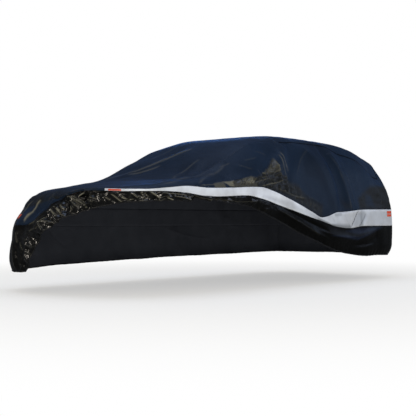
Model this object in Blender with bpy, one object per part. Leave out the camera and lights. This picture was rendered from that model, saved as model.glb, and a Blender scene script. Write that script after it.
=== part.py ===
"""Fitted cloth cover, draped, with the front of its near side lifted.

Frame: metres, +Z up, nose towards -Y, lifted side towards +X. Heights in the tables are above
the ground. The finished part is lowered so that its origin is the point that holds up its top.

The cloth is one sheet in the pattern of a lidless box turned over: a top between two long rims,
and a wall that runs round it, from the hem over the skirt and the stripe up to the top's rim.
The wall is a ring of columns: near side, tail, far side and nose. Each sewn piece is a patch of
the sheet, given its thickness and parted from its neighbours by a seam.
"""
from collections import namedtuple

import bmesh
import bpy
import numpy as np

MOUNT_HEIGHT = 1.445     # holding point above the ground
CLOTH = 0.002            # thickness of the sheet
SEAM_GAP = 0.0003        # between two pieces at a seam
REFLECTOR = 0.0012       # thickness of a reflector
REFLECTOR_SEAT = 0.0004  # between a reflector and the stripe
TUCK_HEIGHT = 0.12       # height over which the hem curls in under the skirt
SPINE = (-1.3, 1.5)      # ends of the line that the hem curls in towards

SKIRT_ROWS = 7           # quads from the hem to the stripe
STRIPE_ROWS = 2          # quads across the stripe
WALL_ROWS = 9            # quads from the stripe to the top's rim
TOP_COLUMNS = 14         # quads across the top

# Places along one side, from the seam on the nose back to the seam before the tail's corner.
# along: running position. belt: plan of the cloth where it turns over the shoulder.
# skirt: plan of the cloth where it hangs widest. rim: long seam of the top. lift: how much
# higher the near rim lies. mid: middle of the top. fall, stand: slope of the cloth at the rim
# and at the stripe, degrees. full: share of the wall over which each end keeps its slope.
Station = namedtuple(
    "Station", "along belt_x belt_y skirt_x skirt_y rim_x rim_y rim_z lift mid_y mid_z "
    "fall stand full")
STATIONS = (
    Station(0.00, 0.500, -1.98, 0.555, -2.12, 0.580, -1.74, 0.882, 0.025, -1.88, 0.900, 12, 66, 0.30),
    Station(0.15, 0.630, -1.89, 0.735, -2.02, 0.600, -1.67, 0.897, 0.022, -1.80, 0.910, 12, 68, 0.30),
    Station(0.30, 0.740, -1.77, 0.855, -1.88, 0.615, -1.59, 0.910, 0.020, -1.70, 0.922, 13, 72, 0.32),
    Station(0.48, 0.830, -1.62, 0.902, -1.70, 0.630, -1.50, 0.930, 0.020, -1.60, 0.935, 14, 76, 0.36),
    Station(0.72, 0.875, -1.42, 0.912, -1.46, 0.650, -1.36, 0.958, 0.015, -1.44, 0.958, 16, 74, 0.38),
    Station(1.00, 0.890, -1.14, 0.910, -1.16, 0.660, -1.12, 0.990, 0.010, -1.20, 0.988, 18, 72, 0.38),
    Station(1.30, 0.890, -0.84, 0.910, -0.85, 0.650, -0.90, 1.058, 0.005, -0.98, 1.052, 22, 72, 0.38),
    Station(1.65, 0.890, -0.49, 0.910, -0.49, 0.625, -0.60, 1.205, 0.000, -0.70, 1.205, 28, 72, 0.38),
    Station(2.00, 0.890, -0.14, 0.910, -0.14, 0.605, -0.26, 1.352, 0.000, -0.34, 1.375, 32, 72, 0.38),
    Station(2.20, 0.890, 0.06, 0.910, 0.06, 0.600, -0.02, 1.380, 0.000, -0.06, 1.440, 34, 72, 0.38),
    Station(2.45, 0.890, 0.31, 0.910, 0.31, 0.597, 0.20, 1.394, 0.000, 0.16, 1.464, 35, 72, 0.38),
    Station(2.90, 0.890, 0.76, 0.910, 0.76, 0.597, 0.64, 1.406, 0.000, 0.64, 1.483, 36, 72, 0.38),
    Station(3.30, 0.890, 1.16, 0.910, 1.16, 0.605, 0.98, 1.400, 0.000, 1.02, 1.485, 38, 72, 0.38),
    Station(3.55, 0.888, 1.41, 0.908, 1.41, 0.655, 1.15, 1.333, 0.000, 1.28, 1.465, 44, 74, 0.40),
    Station(3.80, 0.880, 1.63, 0.897, 1.63, 0.700, 1.42, 1.266, 0.000, 1.55, 1.438, 46, 78, 0.42),
    Station(4.00, 0.860, 1.80, 0.875, 1.80, 0.710, 1.60, 1.168, 0.000, 1.84, 1.398, 46, 79, 0.42),
    Station(4.12, 0.840, 1.92, 0.855, 1.92, 0.710, 1.74, 1.102, 0.000, 2.00, 1.348, 48, 80, 0.42),
    Station(4.24, 0.775, 2.02, 0.788, 2.02, 0.685, 1.90, 1.087, 0.000, 2.12, 1.308, 50, 82, 0.42),
)
NOSE_BOW = 0.07          # how far the nose bulges forward of its corners, in plan
TAIL_Y = 2.17            # rearmost line of the tail
TAIL_BOX = 2.8           # how square the tail's corners are in plan; 2 is round
TAIL_FALL = 66.0         # slope of the middle of the tail under the top, degrees
RIM_POWER = 6.0          # how flat the top is across before it turns down to its rim

# Columns of quads along a side: from and to, in running position, and how many.
Span = namedtuple("Span", "start end count")
SPANS = (Span(0.00, 0.48, 6), Span(0.48, 1.70, 12), Span(1.70, 3.40, 18), Span(3.40, 4.24, 9))

# Heights above the ground of the stripe's top, the stripe's bottom and the hem. "at" is the
# running position on a side, or x on the nose.
Height = namedtuple("Height", "at top bottom hem")
NEAR_HEIGHTS = (
    Height(0.00, 0.885, 0.868, 0.743),
    Height(0.15, 0.880, 0.863, 0.769),
    Height(0.30, 0.881, 0.865, 0.778),
    Height(0.50, 0.895, 0.866, 0.788),
    Height(0.75, 0.912, 0.855, 0.793),
    Height(1.00, 0.904, 0.832, 0.794),
    Height(1.30, 0.913, 0.842, 0.783),
    Height(1.50, 0.923, 0.850, 0.758),
    Height(1.70, 0.929, 0.827, 0.715),
    Height(1.90, 0.897, 0.787, 0.648),
    Height(2.10, 0.838, 0.743, 0.581),
    Height(2.30, 0.778, 0.698, 0.508),
    Height(2.50, 0.712, 0.655, 0.448),
    Height(2.66, 0.658, 0.620, 0.400),
    Height(2.75, 0.668, 0.597, 0.371),
    Height(2.92, 0.708, 0.562, 0.325),
    Height(3.15, 0.720, 0.549, 0.284),
    Height(3.40, 0.740, 0.570, 0.262),
    Height(4.24, 0.750, 0.572, 0.250),
)
FAR_HEIGHTS = (
    Height(0.00, 0.745, 0.585, 0.180),
    Height(0.30, 0.740, 0.580, 0.180),
    Height(0.80, 0.745, 0.575, 0.200),
    Height(2.00, 0.750, 0.570, 0.230),
    Height(4.24, 0.750, 0.572, 0.250),
)
NOSE_HEIGHTS = (
    Height(-0.555, 0.745, 0.585, 0.180),
    Height(-0.37, 0.760, 0.590, 0.184),
    Height(-0.31, 0.770, 0.597, 0.228),
    Height(-0.25, 0.780, 0.608, 0.318),
    Height(-0.18, 0.790, 0.645, 0.412),
    Height(-0.10, 0.805, 0.728, 0.501),
    Height(0.00, 0.825, 0.795, 0.557),
    Height(0.13, 0.855, 0.838, 0.630),
    Height(0.30, 0.887, 0.870, 0.684),
    Height(0.40, 0.890, 0.872, 0.712),
    Height(0.555, 0.885, 0.868, 0.743),
)

# How far the cloth has swung out from the belt plan to the skirt plan at a height.
Flare = namedtuple("Flare", "height share")
FLARES = (
    Flare(0.20, 0.86),
    Flare(0.30, 0.92),
    Flare(0.45, 0.86),
    Flare(0.55, 0.79),
    Flare(0.62, 0.66),
    Flare(0.67, 0.45),
    Flare(0.75, 0.15),
    Flare(0.90, 0.00),
)

# How far the hem curls in under the skirt, by its place from nose to tail.
Tuck = namedtuple("Tuck", "y depth")
TUCKS = (Tuck(-2.00, 0.015), Tuck(-1.20, 0.035), Tuck(1.75, 0.035), Tuck(2.00, 0.056))

# Folds: each runs from one point to another as seen from one side. On the near and far sides
# the two numbers are y and height, on the nose x and height, on the top x and y. bow: how far
# the middle of its line is bent sideways. width: from crest to flank. rise: out from the cloth.
Fold = namedtuple("Fold", "seen from_a from_b to_a to_b bow width rise")
FOLDS = (
    # slope between nose and crown
    Fold("top", -0.45, -1.06, 0.14, -0.46, 0.03, 0.07, 0.012),
    Fold("top", 0.80, -1.66, 0.37, -0.68, 0.02, 0.06, 0.012),
    Fold("top", 0.86, -1.34, 0.66, -0.66, -0.02, 0.06, 0.012),
    # crinkled patch above the stripe, in front of the crown
    Fold("near", 0.16, 1.380, -0.36, 1.060, 0.03, 0.06, -0.020),
    Fold("near", -0.26, 1.085, -1.20, 0.925, 0.02, 0.05, -0.014),
    Fold("near", -0.02, 1.190, -0.80, 0.975, -0.02, 0.06, 0.014),
    Fold("near", 0.36, 1.400, 0.02, 0.960, 0.03, 0.05, -0.014),
    Fold("near", 0.20, 1.370, -0.10, 1.040, 0.02, 0.05, 0.013),
    # folds that hang from the crown to the low point of the stripe
    Fold("near", 0.84, 1.400, 0.90, 0.700, -0.05, 0.08, -0.024),
    Fold("near", 0.95, 1.330, 1.04, 0.680, -0.03, 0.06, 0.024),
    Fold("near", 1.07, 1.160, 1.16, 0.700, -0.01, 0.05, 0.014),
    Fold("near", 0.54, 1.370, 0.79, 0.700, -0.04, 0.07, 0.010),
    Fold("near", 1.28, 1.020, 1.70, 0.820, 0.02, 0.10, -0.010),
    Fold("near", 1.02, 0.555, 1.24, 0.700, 0.00, 0.05, -0.010),
    Fold("near", 1.18, 0.560, 1.42, 0.700, 0.00, 0.05, 0.009),
    # skirt behind the low point
    Fold("near", 0.36, 0.575, 1.68, 0.590, 0.13, 0.05, 0.014),
    Fold("near", 0.50, 0.500, 1.55, 0.480, 0.12, 0.05, -0.010),
    Fold("near", -0.30, 0.840, 0.72, 0.460, 0.02, 0.04, -0.008),
    # bunched skirt across the nose
    Fold("nose", 0.10, 0.860, 0.36, 0.720, 0.01, 0.05, 0.014),
    Fold("nose", -0.08, 0.790, 0.18, 0.620, 0.01, 0.05, 0.015),
    Fold("nose", -0.18, 0.690, 0.00, 0.520, 0.01, 0.05, 0.013),
    Fold("nose", -0.42, 0.420, -0.20, 0.240, 0.01, 0.05, 0.012),
    Fold("nose", -0.10, 0.840, 0.14, 0.780, 0.00, 0.04, -0.013),
    Fold("nose", 0.12, 0.800, 0.52, 0.840, 0.02, 0.04, -0.010),
    Fold("nose", -0.22, 0.840, -0.50, 0.580, 0.00, 0.05, 0.011),
    Fold("nose", -0.42, 0.840, -0.54, 0.660, 0.00, 0.04, -0.009),
    Fold("nose", -0.53, 0.640, -0.48, 0.200, 0.01, 0.05, 0.009),
    Fold("nose", -0.40, 0.660, -0.34, 0.200, 0.01, 0.05, -0.009),
    # hidden side
    Fold("far", 0.90, 1.340, 0.98, 0.650, 0.04, 0.08, -0.020),
    Fold("far", 1.10, 1.250, 1.16, 0.660, 0.02, 0.07, 0.018),
    Fold("far", 0.20, 1.360, -0.30, 1.000, 0.03, 0.07, -0.014),
    Fold("far", -0.60, 0.560, -0.52, 0.240, 0.02, 0.07, 0.014),
    Fold("far", 0.30, 0.560, 0.36, 0.240, 0.02, 0.07, -0.012),
    Fold("far", 1.30, 0.560, 1.22, 0.260, 0.02, 0.07, 0.012),
)
FACING = {"near": (1, 0, 0), "far": (-1, 0, 0), "nose": (0, -1, 0), "top": (0, 0, 1)}
SEEN = {"near": (1, 2), "far": (1, 2), "nose": (0, 2), "top": (0, 1)}

# Ripples that run through the whole cloth: wave count per metre along each axis, start of the
# wave, and how far it stands out.
Ripple = namedtuple("Ripple", "per_x per_y per_z phase rise")
UNEVEN = (
    Ripple(0.9, 0.7, 1.1, 0.4, 0.0035),
    Ripple(1.7, -1.3, 0.6, 2.1, 0.0025),
    Ripple(-0.8, 2.1, 1.6, 4.0, 0.0025),
)
CRUMPLE = (
    Ripple(2.6, 1.9, 2.3, 0.9, 0.0060),
    Ripple(-3.4, 2.8, 1.2, 2.7, 0.0050),
    Ripple(1.1, -3.6, 3.1, 5.2, 0.0045),
)
CRUMPLE_END = 0.3        # y at which the bunched black cloth has become smooth

Finish = namedtuple("Finish", "name color roughness metallic")
NAVY = Finish("navy_coated_polyester", (0.012, 0.022, 0.055), 0.55, 0.0)
SILVER = Finish("silver_reflective_tape", (0.62, 0.63, 0.65), 0.45, 0.3)
BLACK = Finish("black_coated_polyester", (0.008, 0.008, 0.009), 0.40, 0.0)
ORANGE = Finish("orange_reflector_plastic", (0.85, 0.10, 0.01), 0.25, 0.0)

# Reflectors sewn on the stripe. start, end: places on the ring of columns, counted round from the
# seam on the nose. low, high: share of the stripe's height that it covers.
Reflector = namedtuple("Reflector", "name start end low high")
REFLECTORS = (
    Reflector("reflector_front_near", 0.35, 1.60, 0.10, 0.90),
    Reflector("reflector_rear_near_1", 42.70, 44.20, 0.74, 0.90),
    Reflector("reflector_rear_near_2", 42.70, 44.20, 0.56, 0.71),
    Reflector("reflector_rear_far_1", 59.80, 61.30, 0.74, 0.90),
    Reflector("reflector_rear_far_2", 59.80, 61.30, 0.56, 0.71),
    Reflector("reflector_front_far", 102.20, 103.70, 0.38, 0.62),
)


def column(table, name):
    """One named column of a table, as an array."""
    return np.array([getattr(row, name) for row in table], dtype=float)


def smooth_line(keys, values, at):
    """Value at each place of a smooth line through a table's rows, with no overshoot."""
    step = np.diff(keys)
    slope = np.diff(values) / step
    before, after = slope[:-1], slope[1:]
    rising = before * after > 0
    total = np.where(rising, before + after, 1.0)
    tangent = np.empty_like(values)
    tangent[1:-1] = np.where(rising, 2 * before * after / total, 0.0)
    tangent[0], tangent[-1] = slope[0], slope[-1]
    k = np.clip(np.searchsorted(keys, at, side="right") - 1, 0, len(step) - 1)
    t = np.clip((at - keys[k]) / step[k], 0.0, 1.0)
    bend_in = t * (1 - t) ** 2 * step[k] * tangent[k]
    bend_out = t * t * (1 - t) * step[k] * tangent[k + 1]
    blend = t * t * (3 - 2 * t)
    return values[k] * (1 - blend) + values[k + 1] * blend + bend_in - bend_out


def read(table, key, name, at):
    """Smooth value of one column at each place."""
    return smooth_line(column(table, key), column(table, name), np.asarray(at, dtype=float))


def side_places():
    """Running positions of the columns of points along a side."""
    runs = [np.linspace(s.start, s.end, s.count, endpoint=False) for s in SPANS]
    return np.append(np.concatenate(runs), SPANS[-1].end)


def crown(across, rim_z, lift, mid_z):
    """Height of the top across it, from its far rim at -1 to its near rim at 1."""
    edge = rim_z + lift * (1 + across) / 2
    return edge + (mid_z - edge) * (1 - np.abs(across) ** RIM_POWER)


def side_guides(places, heights, side):
    """Guide points of each column on one side; side is 1 near and -1 far."""
    place = {name: read(STATIONS, "along", name, places) for name in Station._fields}
    rim_z = place["rim_z"] + place["lift"] * (side > 0)
    return {
        "belt": np.stack([side * place["belt_x"], place["belt_y"]], axis=-1),
        "skirt": np.stack([side * place["skirt_x"], place["skirt_y"]], axis=-1),
        "rim": np.stack([side * place["rim_x"], place["rim_y"], rim_z], axis=-1),
        "fall": place["fall"],
        "stand": place["stand"],
        "full": place["full"],
        "top": read(heights, "at", "top", places),
        "bottom": read(heights, "at", "bottom", places),
        "hem": read(heights, "at", "hem", places),
    }


def end_guides(across, station):
    """Guide points that the nose and the tail share; across is -1 far to 1 near."""
    rim_y = station.rim_y + (station.mid_y - station.rim_y) * (1 - across ** 2)
    rim_z = crown(across, station.rim_z, station.lift, station.mid_z)
    return {
        "rim": np.stack([across * station.rim_x, rim_y, rim_z], axis=-1),
        "stand": np.full_like(across, station.stand),
        "full": np.full_like(across, station.full),
    }


def nose_guides(across):
    """Guide points of each column on the nose, which is a shallow bow in plan."""
    station = STATIONS[0]
    ahead = NOSE_BOW * (1 - across ** 2)
    guides = end_guides(across, station)
    guides["belt"] = np.stack([across * station.belt_x, station.belt_y - ahead], axis=-1)
    guides["skirt"] = np.stack([across * station.skirt_x, station.skirt_y - ahead], axis=-1)
    guides["fall"] = np.full_like(across, station.fall)
    for name in ("top", "bottom", "hem"):
        guides[name] = read(NOSE_HEIGHTS, "at", name, across * station.skirt_x)
    return guides


def tail_guides(across):
    """Guide points of each column on the tail, which is square with round corners in plan."""
    station = STATIONS[-1]
    turn = across * np.pi / 2
    out = np.sign(across) * np.abs(np.sin(turn)) ** (2 / TAIL_BOX)
    back = np.abs(np.cos(turn)) ** (2 / TAIL_BOX)
    guides = end_guides(across, station)
    y = station.belt_y + (TAIL_Y - station.belt_y) * back
    guides["belt"] = np.stack([out * station.belt_x, y], axis=-1)
    guides["skirt"] = np.stack([out * station.skirt_x, y], axis=-1)
    guides["fall"] = TAIL_FALL + (station.fall - TAIL_FALL) * across ** 2
    for name in ("top", "bottom", "hem"):
        guides[name] = np.full_like(across, getattr(NEAR_HEIGHTS[-1], name))
    return guides


def hang(guides, height):
    """Points of the hanging cloth at a height above the ground, one for each column."""
    share = read(FLARES, "height", "share", height)[:, None]
    plan = guides["belt"] + (guides["skirt"] - guides["belt"]) * share
    spine = np.stack([np.zeros_like(height), np.clip(plan[:, 1], *SPINE)], axis=-1)
    outward = plan - spine
    outward /= np.linalg.norm(outward, axis=-1, keepdims=True)
    near_hem = np.clip(1 - (height - guides["hem"]) / TUCK_HEIGHT, 0, 1)[:, None]
    depth = read(TUCKS, "y", "depth", plan[:, 1])[:, None]
    plan = plan - outward * depth * near_hem ** 2
    return np.concatenate([plan, height[:, None]], axis=-1)


def wall_row(guides, w):
    """Points of the wall, w of the way from the stripe up to the rim."""
    foot = hang(guides, guides["top"])
    run = guides["rim"] - foot
    reach = np.maximum(np.linalg.norm(run[:, :2], axis=-1), 1e-6)
    chord = np.hypot(reach, run[:, 2])
    inward = run[:, :2] / reach[:, None]
    slope = np.degrees(np.arctan2(run[:, 2], reach))
    stand = np.radians(np.minimum(guides["stand"], np.maximum(3 * slope, 0)))
    fall = np.radians(guides["fall"])
    handle = guides["full"] * chord

    def leaning(angle):
        level = inward * (np.cos(angle) * handle)[:, None]
        return np.concatenate([level, (np.sin(angle) * handle)[:, None]], axis=-1)

    low = foot + leaning(stand)
    high = guides["rim"] - leaning(fall)
    return ((1 - w) ** 3 * foot + 3 * (1 - w) ** 2 * w * low
            + 3 * (1 - w) * w ** 2 * high + w ** 3 * guides["rim"])


def wall_block(guides):
    """Rows of points from the hem to the rim."""
    rows = []
    for k in range(SKIRT_ROWS):
        share = k / SKIRT_ROWS
        rows.append(hang(guides, guides["hem"] + (guides["bottom"] - guides["hem"]) * share))
    for k in range(STRIPE_ROWS):
        share = k / STRIPE_ROWS
        rows.append(hang(guides, guides["bottom"] + (guides["top"] - guides["bottom"]) * share))
    for k in range(WALL_ROWS + 1):
        rows.append(wall_row(guides, k / WALL_ROWS))
    return np.array(rows)


def top_block(places, across):
    """Rows of points of the top, nose to tail, each from the far rim to the near rim."""
    place = {name: read(STATIONS, "along", name, places)[:, None] for name in Station._fields}
    u = across[None, :]
    x = place["rim_x"] * u
    y = place["rim_y"] + (place["mid_y"] - place["rim_y"]) * (1 - u ** 2)
    z = crown(u, place["rim_z"], place["lift"], place["mid_z"])
    return np.stack([x, y, z], axis=-1)


def ripple(points, waves):
    """How far a set of ripples stands out at each point."""
    out = np.zeros(points.shape[:-1])
    for wave in waves:
        turns = points @ np.array([wave.per_x, wave.per_y, wave.per_z])
        out += wave.rise * np.sin(2 * np.pi * turns + wave.phase)
    return out


def fold_rise(fold, points, normals):
    """How far one fold stands out at each point."""
    first, second = SEEN[fold.seen]
    a = points[:, first] - fold.from_a
    b = points[:, second] - fold.from_b
    run_a, run_b = fold.to_a - fold.from_a, fold.to_b - fold.from_b
    length = np.hypot(run_a, run_b)
    t = np.clip((a * run_a + b * run_b) / length ** 2, 0, 1)
    off = (a * run_b - b * run_a) / length - fold.bow * 4 * t * (1 - t)
    past_a, past_b = a - run_a * t, b - run_b * t
    past = np.hypot(past_a, past_b)
    across = np.maximum(np.abs(off), np.where((t <= 0) | (t >= 1), past, 0))
    taper = np.clip(4 * t * (1 - t) * 1.6, 0, 1) ** 0.5
    facing = np.clip(2 * normals @ np.array(FACING[fold.seen]), 0, 1)
    return fold.rise * np.exp(-(across / fold.width) ** 2) * taper * facing


class Sheet:
    """The whole cloth: its points, and where each column and row of them lies."""

    def __init__(self):
        self.places = side_places()
        self.across = np.linspace(-1, 1, TOP_COLUMNS + 1)
        self.side = len(self.places)
        self.inner = TOP_COLUMNS - 1
        near = wall_block(side_guides(self.places, NEAR_HEIGHTS, 1))
        tail = wall_block(tail_guides(self.across))[:, ::-1]
        far = wall_block(side_guides(self.places, FAR_HEIGHTS, -1))[:, ::-1]
        nose = wall_block(nose_guides(self.across))
        ring = np.concatenate([near, tail[:, 1:-1], far, nose[:, 1:-1]], axis=1)
        top = top_block(self.places, self.across)
        self.rows, self.around = ring.shape[:2]
        self.ring = np.arange(self.rows * self.around).reshape(self.rows, self.around)
        self.top = self.number_top()
        self.points = np.concatenate([ring.reshape(-1, 3), top[1:-1, 1:-1].reshape(-1, 3)])
        self.row_of = np.full(len(self.points), self.rows - 1)
        self.row_of[:ring.shape[0] * ring.shape[1]] = np.repeat(np.arange(self.rows), self.around)
        self.faces = self.patch(self.round_ring(0, self.around), 0, self.rows - 1)
        self.faces += grid_faces(self.top)
        self.normals = self.find_normals()

    def number_top(self):
        """Numbers of the top's points; its border is the ring's last row."""
        rim = self.ring[-1]
        side, inner = self.side, self.inner
        top = np.empty((side, inner + 2), dtype=int)
        top[:, -1] = rim[:side]
        top[-1, 1:-1] = rim[side:side + inner][::-1]
        top[:, 0] = rim[side + inner:2 * side + inner][::-1]
        top[0, 1:-1] = rim[2 * side + inner:]
        new = (side - 2) * inner
        top[1:-1, 1:-1] = self.ring.size + np.arange(new).reshape(side - 2, inner)
        return top

    def round_ring(self, start, count):
        """Column numbers from start on, going round the ring."""
        return [(start + k) % self.around for k in range(count + 1)]

    def patch(self, columns, low, high):
        """Faces of the wall between two rows, over the given columns."""
        return grid_faces(self.ring[low:high + 1][:, columns])

    def find_normals(self):
        """Outward direction of the cloth at each point."""
        mesh = bmesh.new()
        verts = [mesh.verts.new(point) for point in self.points]
        for face in self.faces:
            mesh.faces.new([verts[k] for k in face])
        mesh.normal_update()
        normals = np.array([vert.normal[:] for vert in verts])
        mesh.free()
        return normals

    def drape(self):
        """Move the points out and in by the folds, the unevenness and the crumpling."""
        rise = ripple(self.points, UNEVEN)
        for fold in FOLDS:
            rise += fold_rise(fold, self.points, self.normals)
        skirt = self.row_of / SKIRT_ROWS
        bunched = np.clip((CRUMPLE_END - self.points[:, 1]) / 0.8, 0, 1)
        bunched *= np.clip(self.points[:, 0] + 0.9, 0, 1)
        middle = np.where(skirt < 1, np.clip(3 * (1 - skirt), 0, 1), 0)
        rise += ripple(self.points, CRUMPLE) * bunched * middle
        self.points = self.points + self.normals * rise[:, None]
        self.normals = self.find_normals()


def grid_faces(numbers):
    """Faces of a grid of point numbers, wound so that they look outward."""
    low, high = numbers[:-1], numbers[1:]
    corners = (low[:, :-1], low[:, 1:], high[:, 1:], high[:, :-1])
    return [tuple(int(k) for k in face) for face in zip(*(c.ravel() for c in corners))]


def border_of(faces):
    """Edges of a patch that only one of its faces has, each as from: to."""
    edges = set()
    for face in faces:
        edges.update(zip(face, face[1:] + face[:1]))
    return {a: b for a, b in edges if (b, a) not in edges}


def parted(points, normals, border):
    """Points with those on the border moved back from the seam by half its gap."""
    inward = {}
    for a, b in border.items():
        lean = normals[a] + normals[b]
        step = np.cross(lean, points[b] - points[a])
        inward[a] = step / np.linalg.norm(step)
    moved = points.copy()
    for a, b in border.items():
        both = inward[a] + inward[b]
        moved[b] = points[b] + both * (SEAM_GAP / 2) / (1 + inward[a] @ inward[b])
    return moved


def add_solid(name, finish, outer, inner, faces):
    """One closed object from an outer skin, an inner skin and the faces that both have."""
    border = border_of(faces)
    used = sorted({k for face in faces for k in face})
    place = {k: n for n, k in enumerate(used)}
    count = len(used)
    triangles = []
    for a, *others in ([place[k] for k in face] for face in faces):
        for b, c in zip(others, others[1:]):
            triangles += [(a, b, c), (c + count, b + count, a + count)]
    for a, b in border.items():
        m, n = place[a], place[b]
        if a < b:
            triangles += [(n, m, n + count), (m, m + count, n + count)]
        else:
            triangles += [(n, m, m + count), (n, m + count, n + count)]
    mesh = bpy.data.meshes.new(name)
    verts = np.concatenate([outer[used], inner[used]]) - (0, 0, MOUNT_HEIGHT)
    mesh.from_pydata(verts.tolist(), [], triangles)
    mesh.validate()
    mesh.materials.append(material(finish))
    body = bpy.data.objects.new(name, mesh)
    bpy.context.scene.collection.objects.link(body)
    return body


def material(finish):
    """The Principled material of a finish, made once."""
    if finish.name in bpy.data.materials:
        return bpy.data.materials[finish.name]
    made = bpy.data.materials.new(finish.name)
    made.use_nodes = True
    shader = made.node_tree.nodes["Principled BSDF"]
    shader.inputs["Base Color"].default_value = (*finish.color, 1)
    shader.inputs["Roughness"].default_value = finish.roughness
    shader.inputs["Metallic"].default_value = finish.metallic
    made.diffuse_color = (*finish.color, 1)
    return made


def add_piece(sheet, name, finish, faces):
    """One sewn piece: a patch of the sheet, thickened inward."""
    outer = parted(sheet.points, sheet.normals, border_of(faces))
    add_solid(name, finish, outer, outer - sheet.normals * CLOTH, faces)


def on_stripe(sheet, columns, spot):
    """Point of the stripe and outward direction there, at so many cells along and rows up."""
    cell, row = min(int(spot[0]), len(columns) - 2), min(int(spot[1]), STRIPE_ROWS - 1)
    along, up = spot[0] - cell, spot[1] - row
    level = sheet.ring[SKIRT_ROWS + row:SKIRT_ROWS + row + 2, columns[cell:cell + 2]]
    found = []
    for values in (sheet.points, sheet.normals):
        (start, side), (above, across) = values[level]
        if along >= up:
            found.append(start + (side - start) * along + (across - side) * up)
        else:
            found.append(start + (above - start) * up + (across - above) * along)
    return found


def facet_part(outline, side):
    """Part of an outline in a cell on one side of its diagonal: 1 below it, -1 above it."""
    kept = []
    for (along, up), (next_along, next_up) in zip(outline, outline[1:] + outline[:1]):
        here, there = side * (along - up), side * (next_along - next_up)
        if here >= 0:
            kept.append((along, up))
        if here * there < 0:
            share = here / (here - there)
            kept.append((along + (next_along - along) * share, up + (next_up - up) * share))
    return kept


def add_reflector(sheet, reflector):
    """One plate that follows the facets of the stripe, just clear of them."""
    first, last = int(reflector.start), int(np.ceil(reflector.end))
    columns = sheet.round_ring(first, last - first)
    low, high = reflector.low * STRIPE_ROWS, reflector.high * STRIPE_ROWS
    spots, faces = {}, []
    for row in range(int(low), int(np.ceil(high))):
        under, over = max(low - row, 0), min(high - row, 1)
        for cell in range(last - first):
            left = max(reflector.start - first - cell, 0)
            right = min(reflector.end - first - cell, 1)
            whole = [(left, under), (right, under), (right, over), (left, over)]
            for side in (1, -1):
                outline = facet_part(whole, side)
                corners = [(round(cell + s, 6), round(row + t, 6)) for s, t in outline]
                face = tuple(dict.fromkeys(spots.setdefault(c, len(spots)) for c in corners))
                if len(face) > 2:
                    faces.append(face)
    found = np.array([on_stripe(sheet, columns, spot) for spot in spots])
    low = found[:, 0] + found[:, 1] * REFLECTOR_SEAT
    add_solid(reflector.name, ORANGE, low + found[:, 1] * REFLECTOR, low, faces)


def main():
    """Clear the file and build every piece."""
    for item in list(bpy.data.objects):
        bpy.data.objects.remove(item, do_unlink=True)
    sheet = Sheet()
    sheet.drape()
    side, back = sheet.side - 1, (sheet.inner + 1) // 2
    near = sheet.round_ring(0, side + back)
    far = sheet.round_ring(side + back, side + back)
    stripe, wall, rim = SKIRT_ROWS, SKIRT_ROWS + STRIPE_ROWS, sheet.rows - 1
    nose = sheet.round_ring(2 * (side + back), TOP_COLUMNS)
    add_piece(sheet, "top_panel", NAVY, sheet.patch(nose, stripe, rim) + grid_faces(sheet.top))
    add_piece(sheet, "side_panel_near", NAVY, sheet.patch(near, wall, rim))
    add_piece(sheet, "side_panel_far", NAVY, sheet.patch(far, wall, rim))
    add_piece(sheet, "stripe_near", SILVER, sheet.patch(near, stripe, wall))
    add_piece(sheet, "stripe_far", SILVER, sheet.patch(far, stripe, wall))
    near_side, tail = sheet.round_ring(0, side), sheet.round_ring(side, TOP_COLUMNS)
    far_side = sheet.round_ring(side + TOP_COLUMNS, side)
    add_piece(sheet, "skirt_near", BLACK, sheet.patch(near_side, 0, stripe))
    add_piece(sheet, "skirt_rear", BLACK, sheet.patch(tail, 0, stripe))
    add_piece(sheet, "skirt_far", BLACK, sheet.patch(far_side, 0, stripe))
    add_piece(sheet, "skirt_front", BLACK, sheet.patch(nose, 0, stripe))
    for reflector in REFLECTORS:
        add_reflector(sheet, reflector)


if __name__ == "__main__":
    main()
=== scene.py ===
"""Looks of a fitted cloth cover, draped, with the front of its near side lifted.

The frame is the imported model: metres, +Z up, nose towards -Y, lifted side towards +X. The cloth's
form comes from the same named sizes as the solids, read on a grid eight times finer, and gets its
smaller creases and crinkles here. Each sewn piece is then cut out of that one sheet, so that
the folds run on across the seams.
"""
import logging
import math
from collections.abc import Iterable, Sequence
from dataclasses import dataclass, field
from enum import Enum

import bpy
import numpy as np
from bpy.types import Material, Node, NodeTree, Object
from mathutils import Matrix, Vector


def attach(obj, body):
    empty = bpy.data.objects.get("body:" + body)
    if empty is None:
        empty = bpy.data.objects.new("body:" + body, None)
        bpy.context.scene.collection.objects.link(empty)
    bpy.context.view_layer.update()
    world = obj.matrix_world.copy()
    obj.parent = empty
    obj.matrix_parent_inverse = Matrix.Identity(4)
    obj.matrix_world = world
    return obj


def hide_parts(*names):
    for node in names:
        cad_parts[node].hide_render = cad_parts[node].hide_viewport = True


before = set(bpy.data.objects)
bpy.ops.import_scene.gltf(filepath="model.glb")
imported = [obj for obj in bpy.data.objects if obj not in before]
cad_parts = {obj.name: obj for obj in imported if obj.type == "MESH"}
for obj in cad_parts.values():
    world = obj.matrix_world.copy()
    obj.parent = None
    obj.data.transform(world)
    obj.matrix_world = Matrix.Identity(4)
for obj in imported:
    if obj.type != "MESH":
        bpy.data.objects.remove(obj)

log = logging.getLogger("cover")

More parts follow.
